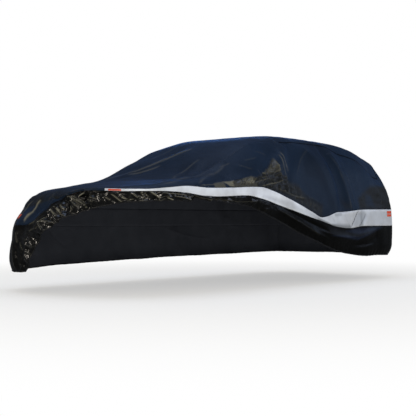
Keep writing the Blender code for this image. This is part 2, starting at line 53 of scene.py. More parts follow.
GROUND = -1.445          # height of the floor in the frame: the tables count from it
CLOTH = 0.0008           # thickness that the cloth is shown with
FINENESS = 8             # fine columns to one column of the solids
SKIRT_ROWS = 56          # quads from the hem to the stripe
STRIPE_ROWS = 10         # quads across the stripe
WALL_ROWS = 70           # quads from the stripe to the top's rim
TOP_COLUMNS = 14 * FINENESS
END_TAPER = 1.6          # how soon a crease reaches its full rise from either end
CREST_ROUNDING = 0.25    # rounding of a crisp crest, in widths of the crease
FLANK_FADE = (2, 5)      # where a crisp crease's flank starts to fade and ends, in its widths
FULL_TURN = 6.28         # range of a random phase
MIX_A, MIX_B, MIXED = 6, 7, 2    # colour sockets of a Mix node: its two inputs, its output


@dataclass(frozen=True)
class Station:
    """Plan and heights of the cloth at one place along a side, and its slopes in degrees.

    belt is the plan where the cloth turns over the shoulder, skirt where it hangs widest, rim
    the long seam of the top and mid its middle. lift is how much higher the near rim lies. fall
    and stand are the slopes at the rim and at the stripe, and full is the share of the wall over
    which each end keeps its slope.
    """

    along: float
    belt_x: float
    belt_y: float
    skirt_x: float
    skirt_y: float
    rim_x: float
    rim_y: float
    rim_z: float
    lift: float
    mid_y: float
    mid_z: float
    fall: float
    stand: float
    full: float


@dataclass(frozen=True)
class Span:
    """A stretch of a side and its columns in the solids."""

    start: float
    end: float
    count: int


@dataclass(frozen=True)
class Height:
    """Heights above the floor of the stripe's top, the stripe's bottom and the hem."""

    at: float
    top: float
    bottom: float
    hem: float


@dataclass(frozen=True)
class Flare:
    """Share of the way out from the belt plan to the skirt plan at a height."""

    height: float
    share: float


@dataclass(frozen=True)
class Tuck:
    """How far the hem curls in under the skirt at a place between nose and tail."""

    y: float
    depth: float


class Seen(Enum):
    """Side that a crease is drawn from: outward direction, and the two axes drawn on."""

    NEAR = ((1, 0, 0), 1, 2)
    FAR = ((-1, 0, 0), 1, 2)
    NOSE = ((0, -1, 0), 0, 2)
    TOP = ((0, 0, 1), 0, 1)


class Profile(Enum):
    """Cross-section of a crease."""

    SOFT = "a rounded swell or trough"
    CRISP = "a narrow crest or nick with long flanks"


@dataclass(frozen=True)
class Crease:
    """A crease from one point to another, as seen from a side.

    bow bends its middle sideways, width is from crest to flank, rise is out from the cloth, and
    pale is how strongly a painted highlight lies along its line, which on the stripe is a painted
    shadow.
    """

    seen: Seen
    from_a: float
    from_b: float
    to_a: float
    to_b: float
    bow: float
    width: float
    rise: float
    pale: float = 0.0


class Zone(Enum):
    """Part of the wall, as its first and last row of points; the panels go on over the top."""

    SKIRT = (0, SKIRT_ROWS)
    STRIPE = (SKIRT_ROWS, SKIRT_ROWS + STRIPE_ROWS)
    PANEL = (SKIRT_ROWS + STRIPE_ROWS, SKIRT_ROWS + STRIPE_ROWS + WALL_ROWS)


@dataclass(frozen=True)
class Patch:
    """A place on one zone of the cloth, as an outline seen from a side.

    crinkle is how far it is crinkled. pale lays a painted highlight on the cloth and a painted
    shadow on the stripe. faded lays painted shade and reflection: dull grey on the navy, a blue
    sheen on the black and darker grey on the stripe. edge is how soft its edge is.
    """

    zone: Zone
    seen: Seen
    outline: tuple[tuple[float, float], ...]
    edge: float
    crinkle: float = 0.0
    pale: float = 0.0
    painted_shading: float = 0.0


@dataclass(frozen=True)
class Ripple:
    """A wave through the whole cloth: waves per metre along each axis, phase and height."""

    per_x: float
    per_y: float
    per_z: float
    phase: float
    rise: float


# From the seam on the nose back to the seam before the tail's corner.
STATIONS = tuple(Station(*row) for row in (
    (0.00, 0.500, -1.98, 0.555, -2.12, 0.580, -1.74, 0.882, 0.025, -1.88, 0.900, 12, 66, 0.30),
    (0.15, 0.630, -1.89, 0.735, -2.02, 0.600, -1.67, 0.897, 0.022, -1.80, 0.910, 12, 68, 0.30),
    (0.30, 0.740, -1.77, 0.855, -1.88, 0.615, -1.59, 0.910, 0.020, -1.70, 0.922, 13, 72, 0.32),
    (0.48, 0.830, -1.62, 0.902, -1.70, 0.630, -1.50, 0.930, 0.020, -1.60, 0.935, 14, 76, 0.36),
    (0.72, 0.875, -1.42, 0.912, -1.46, 0.650, -1.36, 0.958, 0.015, -1.44, 0.958, 16, 74, 0.38),
    (1.00, 0.890, -1.14, 0.910, -1.16, 0.660, -1.12, 0.990, 0.010, -1.20, 0.988, 18, 72, 0.38),
    (1.30, 0.890, -0.84, 0.910, -0.85, 0.650, -0.90, 1.058, 0.005, -0.98, 1.052, 22, 72, 0.38),
    (1.65, 0.890, -0.49, 0.910, -0.49, 0.625, -0.60, 1.205, 0.000, -0.70, 1.205, 28, 72, 0.38),
    (2.00, 0.890, -0.14, 0.910, -0.14, 0.605, -0.26, 1.352, 0.000, -0.34, 1.375, 32, 72, 0.38),
    (2.20, 0.890, 0.06, 0.910, 0.06, 0.600, -0.02, 1.380, 0.000, -0.06, 1.440, 34, 72, 0.38),
    (2.45, 0.890, 0.31, 0.910, 0.31, 0.597, 0.20, 1.394, 0.000, 0.16, 1.464, 35, 72, 0.38),
    (2.90, 0.890, 0.76, 0.910, 0.76, 0.597, 0.64, 1.406, 0.000, 0.64, 1.483, 36, 72, 0.38),
    (3.30, 0.890, 1.16, 0.910, 1.16, 0.605, 0.98, 1.400, 0.000, 1.02, 1.485, 38, 72, 0.38),
    (3.55, 0.888, 1.41, 0.908, 1.41, 0.655, 1.15, 1.333, 0.000, 1.28, 1.465, 44, 74, 0.40),
    (3.80, 0.880, 1.63, 0.897, 1.63, 0.700, 1.42, 1.266, 0.000, 1.55, 1.438, 46, 78, 0.42),
    (4.00, 0.860, 1.80, 0.875, 1.80, 0.710, 1.60, 1.168, 0.000, 1.84, 1.398, 46, 79, 0.42),
    (4.12, 0.840, 1.92, 0.855, 1.92, 0.710, 1.74, 1.102, 0.000, 2.00, 1.348, 48, 80, 0.42),
    (4.24, 0.775, 2.02, 0.788, 2.02, 0.685, 1.90, 1.087, 0.000, 2.12, 1.308, 50, 82, 0.42),
))

# Columns of quads along a side.
SPANS = (Span(0.00, 0.48, 6), Span(0.48, 1.70, 12), Span(1.70, 3.40, 18), Span(3.40, 4.24, 9))

# On the sides the rows count along the running position, on the nose along x.
NEAR_HEIGHTS = (
    Height(0.00, 0.885, 0.868, 0.743),
    Height(0.15, 0.880, 0.863, 0.769),
    Height(0.30, 0.881, 0.865, 0.778),
    Height(0.50, 0.895, 0.866, 0.788),
    Height(0.75, 0.912, 0.855, 0.793),
    Height(1.00, 0.904, 0.832, 0.794),
    Height(1.30, 0.913, 0.842, 0.783),
    Height(1.50, 0.923, 0.850, 0.758),
    Height(1.70, 0.929, 0.827, 0.715),
    Height(1.90, 0.897, 0.787, 0.648),
    Height(2.10, 0.838, 0.743, 0.581),
    Height(2.30, 0.778, 0.698, 0.508),
    Height(2.50, 0.712, 0.655, 0.448),
    Height(2.66, 0.658, 0.620, 0.400),
    Height(2.75, 0.668, 0.597, 0.371),
    Height(2.92, 0.708, 0.562, 0.325),
    Height(3.15, 0.720, 0.549, 0.284),
    Height(3.40, 0.740, 0.570, 0.262),
    Height(4.24, 0.750, 0.572, 0.250),
)

FAR_HEIGHTS = (
    Height(0.00, 0.745, 0.585, 0.180),
    Height(0.30, 0.740, 0.580, 0.180),
    Height(0.80, 0.745, 0.575, 0.200),
    Height(2.00, 0.750, 0.570, 0.230),
    Height(4.24, 0.750, 0.572, 0.250),
)

NOSE_HEIGHTS = (
    Height(-0.555, 0.745, 0.585, 0.180),
    Height(-0.37, 0.760, 0.590, 0.184),
    Height(-0.31, 0.770, 0.597, 0.228),
    Height(-0.25, 0.780, 0.608, 0.318),
    Height(-0.18, 0.790, 0.645, 0.412),
    Height(-0.10, 0.805, 0.728, 0.501),
    Height(0.00, 0.825, 0.795, 0.557),
    Height(0.13, 0.855, 0.838, 0.630),
    Height(0.30, 0.887, 0.870, 0.684),
    Height(0.40, 0.890, 0.872, 0.712),
    Height(0.555, 0.885, 0.868, 0.743),
)

FLARES = (
    Flare(0.20, 0.86),
    Flare(0.30, 0.92),
    Flare(0.45, 0.86),
    Flare(0.55, 0.79),
    Flare(0.62, 0.66),
    Flare(0.67, 0.45),
    Flare(0.75, 0.15),
    Flare(0.90, 0.00),
)

TUCKS = (Tuck(-2.00, 0.015), Tuck(-1.20, 0.035), Tuck(1.75, 0.035), Tuck(2.00, 0.056))

# Main folds, rounded, the same as in the solids.
FOLDS = (
    # slope between nose and crown
    Crease(Seen.TOP, -0.45, -1.06, 0.14, -0.46, 0.03, 0.07, 0.012),
    Crease(Seen.TOP, 0.80, -1.66, 0.37, -0.68, 0.02, 0.06, 0.012),
    Crease(Seen.TOP, 0.86, -1.34, 0.66, -0.66, -0.02, 0.06, 0.012),
    # crinkled patch above the stripe, in front of the crown
    Crease(Seen.NEAR, 0.16, 1.380, -0.36, 1.060, 0.03, 0.06, -0.020),
    Crease(Seen.NEAR, -0.26, 1.085, -1.20, 0.925, 0.02, 0.05, -0.014),
    Crease(Seen.NEAR, -0.02, 1.190, -0.80, 0.975, -0.02, 0.06, 0.014),
    Crease(Seen.NEAR, 0.36, 1.400, 0.02, 0.960, 0.03, 0.05, -0.014),
    Crease(Seen.NEAR, 0.20, 1.370, -0.10, 1.040, 0.02, 0.05, 0.013),
    # folds that hang from the crown to the low point of the stripe
    Crease(Seen.NEAR, 0.84, 1.400, 0.90, 0.700, -0.05, 0.08, -0.024),
    Crease(Seen.NEAR, 0.95, 1.330, 1.04, 0.680, -0.03, 0.06, 0.024),
    Crease(Seen.NEAR, 1.07, 1.160, 1.16, 0.700, -0.01, 0.05, 0.014),
    Crease(Seen.NEAR, 0.54, 1.370, 0.79, 0.700, -0.04, 0.07, 0.010),
    Crease(Seen.NEAR, 1.28, 1.020, 1.70, 0.820, 0.02, 0.10, -0.010),
    Crease(Seen.NEAR, 1.02, 0.555, 1.24, 0.700, 0.00, 0.05, -0.010),
    Crease(Seen.NEAR, 1.18, 0.560, 1.42, 0.700, 0.00, 0.05, 0.009),
    # skirt behind the low point
    Crease(Seen.NEAR, 0.36, 0.575, 1.68, 0.590, 0.13, 0.05, 0.014),
    Crease(Seen.NEAR, 0.50, 0.500, 1.55, 0.480, 0.12, 0.05, -0.010),
    Crease(Seen.NEAR, -0.30, 0.840, 0.72, 0.460, 0.02, 0.04, -0.008),
    # bunched skirt across the nose
    Crease(Seen.NOSE, 0.10, 0.860, 0.36, 0.720, 0.01, 0.05, 0.014),
    Crease(Seen.NOSE, -0.08, 0.790, 0.18, 0.620, 0.01, 0.05, 0.015),
    Crease(Seen.NOSE, -0.18, 0.690, 0.00, 0.520, 0.01, 0.05, 0.013),
    Crease(Seen.NOSE, -0.42, 0.420, -0.20, 0.240, 0.01, 0.05, 0.012),
    Crease(Seen.NOSE, -0.10, 0.840, 0.14, 0.780, 0.00, 0.04, -0.013),
    Crease(Seen.NOSE, 0.12, 0.800, 0.52, 0.840, 0.02, 0.04, -0.010),
    Crease(Seen.NOSE, -0.22, 0.840, -0.50, 0.580, 0.00, 0.05, 0.011),
    Crease(Seen.NOSE, -0.42, 0.840, -0.54, 0.660, 0.00, 0.04, -0.009),
    Crease(Seen.NOSE, -0.53, 0.640, -0.48, 0.200, 0.01, 0.05, 0.009),
    Crease(Seen.NOSE, -0.40, 0.660, -0.34, 0.200, 0.01, 0.05, -0.009),
    # hidden side
    Crease(Seen.FAR, 0.90, 1.340, 0.98, 0.650, 0.04, 0.08, -0.020),
    Crease(Seen.FAR, 1.10, 1.250, 1.16, 0.660, 0.02, 0.07, 0.018),
    Crease(Seen.FAR, 0.20, 1.360, -0.30, 1.000, 0.03, 0.07, -0.014),
    Crease(Seen.FAR, -0.60, 0.560, -0.52, 0.240, 0.02, 0.07, 0.014),
    Crease(Seen.FAR, 0.30, 0.560, 0.36, 0.240, 0.02, 0.07, -0.012),
    Crease(Seen.FAR, 1.30, 0.560, 1.22, 0.260, 0.02, 0.07, 0.012),
)

# Unevenness of the whole cloth, and the swells of the bunched skirt.
UNEVEN = (
    Ripple(0.9, 0.7, 1.1, 0.4, 0.0035),
    Ripple(1.7, -1.3, 0.6, 2.1, 0.0025),
    Ripple(-0.8, 2.1, 1.6, 4.0, 0.0025),
)
CRUMPLE = (
    Ripple(2.6, 1.9, 2.3, 0.9, 0.0060),
    Ripple(-3.4, 2.8, 1.2, 2.7, 0.0050),
    Ripple(1.1, -3.6, 3.1, 5.2, 0.0045),
)

# Smaller crisp creases, placed where the photograph shows them.
# A crease's last number lays a painted highlight along it; on the stripe that is a painted shadow.
CREASES = (
    # streaks across the slope and the crown
    Crease(Seen.TOP, -0.54, -1.05, -0.29, -0.88, 0.01, 0.060, 0.004, 0.28),
    Crease(Seen.TOP, -0.35, -0.93, -0.04, -0.70, 0.01, 0.065, 0.005, 0.34),
    Crease(Seen.TOP, -0.08, -0.76, 0.11, -0.51, 0.01, 0.055, 0.005, 0.32),
    Crease(Seen.TOP, -0.30, -0.97, -0.03, -0.80, 0.01, 0.050, -0.004, 0.28),
    Crease(Seen.TOP, -0.32, -0.65, -0.20, -0.42, 0.01, 0.030, 0.003, 0.15),
    Crease(Seen.TOP, 0.76, -1.60, 0.33, -0.98, 0.02, 0.040, 0.004, 0.26),
    Crease(Seen.TOP, 0.36, -1.00, 0.37, -0.70, 0.01, 0.040, 0.004, 0.22),
    Crease(Seen.NEAR, -1.26, 0.935, -0.89, 1.040, -0.01, 0.022, 0.003, 0.16),
    Crease(Seen.NEAR, -0.93, 1.028, -0.72, 1.132, 0.01, 0.022, 0.002, 0.12),
    Crease(Seen.NEAR, -0.57, 1.128, -0.45, 1.094, 0.00, 0.010, 0.002, 0.20),
    Crease(Seen.NEAR, -0.28, 1.272, -0.13, 1.247, 0.00, 0.010, 0.002, 0.15),
    Crease(Seen.NEAR, -0.80, 1.100, -0.64, 1.145, 0.00, 0.012, -0.002, 0.16),
    Crease(Seen.NEAR, -0.46, 1.180, -0.31, 1.210, 0.00, 0.012, 0.002, 0.12),
    Crease(Seen.TOP, 0.58, -1.52, 0.20, -0.75, 0.03, 0.022, -0.003),
    Crease(Seen.TOP, 0.10, -1.38, -0.25, -0.85, 0.02, 0.022, -0.003),
    Crease(Seen.TOP, -0.30, 0.15, 0.22, 0.95, 0.05, 0.030, 0.002, 0.15),
    Crease(Seen.TOP, 0.36, 0.35, 0.44, 1.45, 0.02, 0.030, -0.002),
    Crease(Seen.TOP, -0.20, 1.20, 0.30, 1.70, 0.03, 0.030, 0.002, 0.15),
    Crease(Seen.NEAR, -1.60, 0.926, -1.12, 1.006, 0.00, 0.014, 0.003, 0.24),
    Crease(Seen.NOSE, -0.56, 1.022, -0.28, 1.098, 0.00, 0.018, 0.003, 0.26),
    # crinkled patch
    Crease(Seen.NEAR, 0.03, 1.265, 0.05, 1.030, 0.005, 0.022, 0.008, 0.55),
    Crease(Seen.NEAR, 0.07, 1.290, 0.10, 1.100, 0.01, 0.018, 0.006, 0.45),
    Crease(Seen.NEAR, 0.04, 1.300, 0.06, 1.060, 0.01, 0.014, -0.008),
    Crease(Seen.NEAR, -0.33, 1.062, -0.28, 1.060, 0.00, 0.012, 0.006, 1.0),
    Crease(Seen.NEAR, -0.59, 0.975, -0.52, 1.018, 0.01, 0.012, 0.007, 0.75),
    Crease(Seen.NEAR, -1.25, 0.922, -1.05, 0.932, 0.00, 0.010, 0.003, 0.35),
    Crease(Seen.NEAR, -0.73, 0.934, -0.51, 0.950, 0.00, 0.010, -0.006, 0.15),
    Crease(Seen.NEAR, -0.42, 0.939, -0.19, 0.976, 0.00, 0.010, 0.006, 0.60),
    Crease(Seen.NEAR, -0.50, 0.973, -0.29, 1.010, 0.00, 0.010, 0.006, 0.40),
    Crease(Seen.NEAR, -0.38, 1.032, -0.19, 1.005, 0.00, 0.010, -0.006, 0.35),
    Crease(Seen.NEAR, -0.28, 0.963, -0.01, 1.021, 0.01, 0.010, 0.006, 0.40),
    Crease(Seen.NEAR, -0.65, 0.990, -0.59, 0.960, 0.00, 0.010, 0.006, 0.55),
    Crease(Seen.NEAR, -0.58, 0.952, -0.48, 1.004, 0.00, 0.010, -0.006, 0.60),
    Crease(Seen.NEAR, 0.00, 1.130, -0.16, 1.020, 0.00, 0.012, -0.007, 0.15),
    Crease(Seen.NEAR, -0.06, 1.208, -0.31, 1.050, 0.01, 0.012, -0.006),
    Crease(Seen.NEAR, -0.07, 1.180, -0.06, 1.040, 0.00, 0.012, 0.006, 0.25),
    Crease(Seen.NEAR, -0.18, 0.935, 0.30, 0.840, 0.02, 0.014, 0.006, 0.25),
    Crease(Seen.NEAR, -0.04, 0.975, 0.20, 0.930, 0.01, 0.014, -0.006),
    # folds that hang from the crown
    Crease(Seen.NEAR, 0.93, 1.320, 1.03, 0.750, -0.03, 0.018, 0.007),
    Crease(Seen.NEAR, 0.80, 1.330, 0.89, 0.780, -0.05, 0.016, -0.007),
    Crease(Seen.NEAR, 1.08, 1.140, 1.14, 0.760, -0.01, 0.014, 0.005),
    Crease(Seen.NEAR, 0.58, 1.340, 0.20, 1.060, 0.03, 0.020, 0.004, 0.06),
    Crease(Seen.NEAR, 0.50, 1.370, 0.72, 0.820, -0.04, 0.020, 0.003),
    Crease(Seen.NEAR, 1.26, 1.120, 1.40, 0.790, 0.01, 0.016, -0.004),
    Crease(Seen.NEAR, 1.50, 1.050, 1.58, 0.780, 0.01, 0.016, 0.003),
    Crease(Seen.NEAR, 1.16, 0.840, 1.80, 0.800, 0.01, 0.020, -0.004),
    Crease(Seen.NEAR, 0.20, 0.930, 0.62, 0.790, 0.02, 0.016, 0.004),
    # creases in the stripe, with painted shadow along their lines
    Crease(Seen.NEAR, 1.045, 0.560, 1.20, 0.735, 0.00, 0.013, -0.010, 1.0),
    Crease(Seen.NEAR, 1.11, 0.570, 1.20, 0.665, 0.00, 0.016, 0.008),
    Crease(Seen.NEAR, 1.16, 0.562, 1.33, 0.705, 0.01, 0.016, -0.008, 0.70),
    Crease(Seen.NEAR, 0.66, 0.704, 0.74, 0.600, 0.01, 0.016, -0.004, 0.15),
    Crease(Seen.NEAR, 0.91, 0.695, 1.00, 0.575, 0.01, 0.016, 0.004, 0.20),
    # skirt behind the low point of the stripe
    Crease(Seen.NEAR, 0.43, 0.555, 1.61, 0.566, 0.11, 0.014, 0.006),
    Crease(Seen.NEAR, 0.60, 0.450, 1.50, 0.400, 0.05, 0.014, -0.004),
    Crease(Seen.NEAR, -0.09, 0.740, 0.63, 0.514, 0.00, 0.016, -0.014),
    Crease(Seen.NEAR, -0.20, 0.735, 0.47, 0.485, 0.00, 0.016, 0.012, 0.03),
    Crease(Seen.NEAR, 0.06, 0.625, 0.82, 0.398, 0.01, 0.016, 0.010),
    # folded skirt along the lifted front
    Crease(Seen.NEAR, -1.99, 0.817, -1.96, 0.788, 0.00, 0.008, 0.007, 0.65),
    Crease(Seen.NEAR, -1.96, 0.842, -1.90, 0.775, 0.00, 0.008, 0.008, 0.80),
    Crease(Seen.NEAR, -1.93, 0.850, -1.87, 0.782, 0.00, 0.008, -0.008, 0.25),
    Crease(Seen.NEAR, -1.91, 0.830, -1.875, 0.800, 0.01, 0.008, 0.008, 0.95),
    Crease(Seen.NEAR, -1.85, 0.846, -1.81, 0.810, 0.00, 0.008, 0.008, 0.90),
    Crease(Seen.NEAR, -1.87, 0.791, -1.84, 0.799, 0.00, 0.008, 0.006, 0.50),
    Crease(Seen.NEAR, -1.79, 0.858, -1.76, 0.800, 0.00, 0.008, 0.008, 0.70),
    Crease(Seen.NEAR, -1.77, 0.856, -1.74, 0.818, 0.00, 0.008, -0.007, 0.55),
    Crease(Seen.NEAR, -1.81, 0.784, -1.75, 0.792, 0.00, 0.008, 0.006, 0.45),
    Crease(Seen.NEAR, -1.73, 0.864, -1.66, 0.810, 0.00, 0.010, 0.009, 1.0),
    Crease(Seen.NEAR, -1.73, 0.784, -1.60, 0.801, 0.00, 0.008, 0.006, 0.35),
    Crease(Seen.NEAR, -1.68, 0.812, -1.58, 0.826, 0.00, 0.008, -0.006, 0.30),
    Crease(Seen.NEAR, -1.65, 0.851, -1.41, 0.841, 0.00, 0.010, 0.008, 0.45),
    Crease(Seen.NEAR, -1.60, 0.815, -1.53, 0.793, 0.00, 0.010, 0.008, 1.0),
    Crease(Seen.NEAR, -1.54, 0.828, -1.34, 0.808, 0.00, 0.008, 0.007, 0.50),
    Crease(Seen.NEAR, -1.44, 0.841, -1.32, 0.824, 0.00, 0.008, -0.006, 0.35),
    Crease(Seen.NEAR, -1.34, 0.830, -0.85, 0.800, 0.01, 0.008, -0.006, 0.20),
    Crease(Seen.NEAR, -1.05, 0.822, -0.50, 0.795, 0.01, 0.008, 0.005, 0.12),
    # bunched skirt across the nose
    Crease(Seen.NOSE, 0.13, 0.829, 0.31, 0.757, 0.00, 0.009, 0.008, 0.75),
    Crease(Seen.NOSE, 0.15, 0.817, 0.28, 0.748, 0.00, 0.008, -0.007, 0.45),
    Crease(Seen.NOSE, 0.14, 0.801, 0.27, 0.730, 0.00, 0.008, 0.007, 0.45),
    Crease(Seen.NOSE, 0.17, 0.834, 0.32, 0.769, 0.00, 0.008, 0.006, 0.45),
    Crease(Seen.NOSE, 0.32, 0.770, 0.35, 0.722, 0.00, 0.008, 0.006, 0.45),
    Crease(Seen.NOSE, -0.03, 0.713, 0.05, 0.674, 0.00, 0.012, 0.010, 1.0),
    Crease(Seen.NOSE, 0.03, 0.732, 0.09, 0.694, 0.00, 0.013, 0.010, 1.0),
    Crease(Seen.NOSE, 0.05, 0.753, 0.12, 0.719, 0.00, 0.010, 0.009, 0.80),
    Crease(Seen.NOSE, 0.17, 0.749, 0.21, 0.703, 0.00, 0.009, 0.008, 0.60),
    Crease(Seen.NOSE, 0.25, 0.824, 0.30, 0.854, 0.00, 0.009, 0.008, 1.0),
    Crease(Seen.NOSE, -0.10, 0.600, -0.06, 0.550, 0.00, 0.010, 0.008, 0.70),
    Crease(Seen.NOSE, -0.32, 0.374, -0.25, 0.332, 0.00, 0.010, 0.008, 0.28),
    Crease(Seen.NOSE, -0.33, 0.342, -0.29, 0.310, 0.00, 0.008, 0.006, 0.12),
    Crease(Seen.NOSE, -0.14, 0.604, 0.00, 0.622, -0.01, 0.010, 0.007, 0.40),
    Crease(Seen.NOSE, -0.01, 0.622, 0.08, 0.604, 0.00, 0.010, 0.007, 0.35),
    Crease(Seen.NOSE, -0.29, 0.588, -0.17, 0.625, 0.00, 0.010, 0.007, 0.35),
    Crease(Seen.NOSE, -0.10, 0.624, -0.06, 0.652, 0.00, 0.009, 0.007, 0.60),
    Crease(Seen.NOSE, 0.04, 0.660, 0.10, 0.694, 0.00, 0.009, -0.007, 0.30),
    Crease(Seen.NOSE, 0.11, 0.680, 0.17, 0.654, 0.00, 0.009, 0.007, 0.35),
    Crease(Seen.NOSE, -0.06, 0.670, 0.05, 0.623, 0.01, 0.010, -0.008),
    Crease(Seen.NOSE, 0.12, 0.730, 0.21, 0.670, 0.01, 0.010, -0.008),
    Crease(Seen.NOSE, 0.33, 0.802, 0.41, 0.776, 0.00, 0.008, 0.006, 0.35),
    Crease(Seen.NOSE, 0.35, 0.825, 0.44, 0.800, 0.00, 0.008, 0.006, 0.30),
    Crease(Seen.NOSE, 0.38, 0.862, 0.54, 0.790, 0.01, 0.010, -0.008),
    Crease(Seen.NOSE, 0.12, 0.836, 0.46, 0.850, 0.02, 0.010, -0.007),
    Crease(Seen.NOSE, -0.09, 0.826, 0.14, 0.784, 0.00, 0.012, -0.012),
    Crease(Seen.NOSE, 0.11, 0.846, 0.30, 0.880, 0.01, 0.010, -0.010),
    Crease(Seen.NOSE, -0.34, 0.436, -0.21, 0.402, 0.01, 0.010, 0.008, 0.15),
    Crease(Seen.NOSE, -0.31, 0.477, -0.22, 0.443, 0.00, 0.010, -0.007, 0.10),
    Crease(Seen.NOSE, -0.36, 0.326, -0.30, 0.274, 0.00, 0.010, 0.007, 0.12),
    Crease(Seen.NOSE, -0.18, 0.560, -0.10, 0.600, 0.00, 0.010, -0.007, 0.20),
    Crease(Seen.NOSE, -0.30, 0.530, -0.20, 0.564, 0.00, 0.010, 0.007, 0.20),
    Crease(Seen.NOSE, -0.410, 0.628, -0.345, 0.680, 0.00, 0.056, 0.004, 1.0),
    Crease(Seen.NOSE, -0.385, 0.648, -0.28, 0.728, 0.00, 0.038, 0.007, 1.0),
    Crease(Seen.NOSE, -0.30, 0.705, -0.23, 0.800, -0.01, 0.032, 0.006, 0.85),
    Crease(Seen.NOSE, -0.34, 0.690, -0.29, 0.758, 0.00, 0.008, -0.005, 0.45),
    Crease(Seen.NOSE, -0.42, 0.800, -0.52, 0.695, 0.00, 0.022, 0.005, 0.45),
    Crease(Seen.NOSE, -0.50, 0.530, -0.45, 0.430, 0.01, 0.014, 0.006, 0.25),
    Crease(Seen.NOSE, -0.42, 0.438, -0.38, 0.372, 0.00, 0.012, 0.006, 0.25),
    Crease(Seen.NOSE, -0.54, 0.450, -0.50, 0.210, 0.01, 0.014, 0.006, 0.10),
    Crease(Seen.NOSE, -0.47, 0.400, -0.43, 0.210, 0.01, 0.014, -0.006),
    # hidden side
    Crease(Seen.FAR, 0.92, 1.330, 1.00, 0.760, -0.03, 0.018, 0.006, 0.12),
    Crease(Seen.FAR, 0.40, 1.360, 0.60, 0.800, -0.04, 0.018, -0.005),
    Crease(Seen.FAR, 0.02, 1.310, -0.40, 1.020, 0.02, 0.016, 0.006, 0.20),
    Crease(Seen.FAR, -1.50, 0.640, -1.20, 0.360, 0.03, 0.014, 0.006, 0.15),
    Crease(Seen.FAR, 0.10, 0.560, 0.90, 0.420, 0.03, 0.014, -0.005),
)
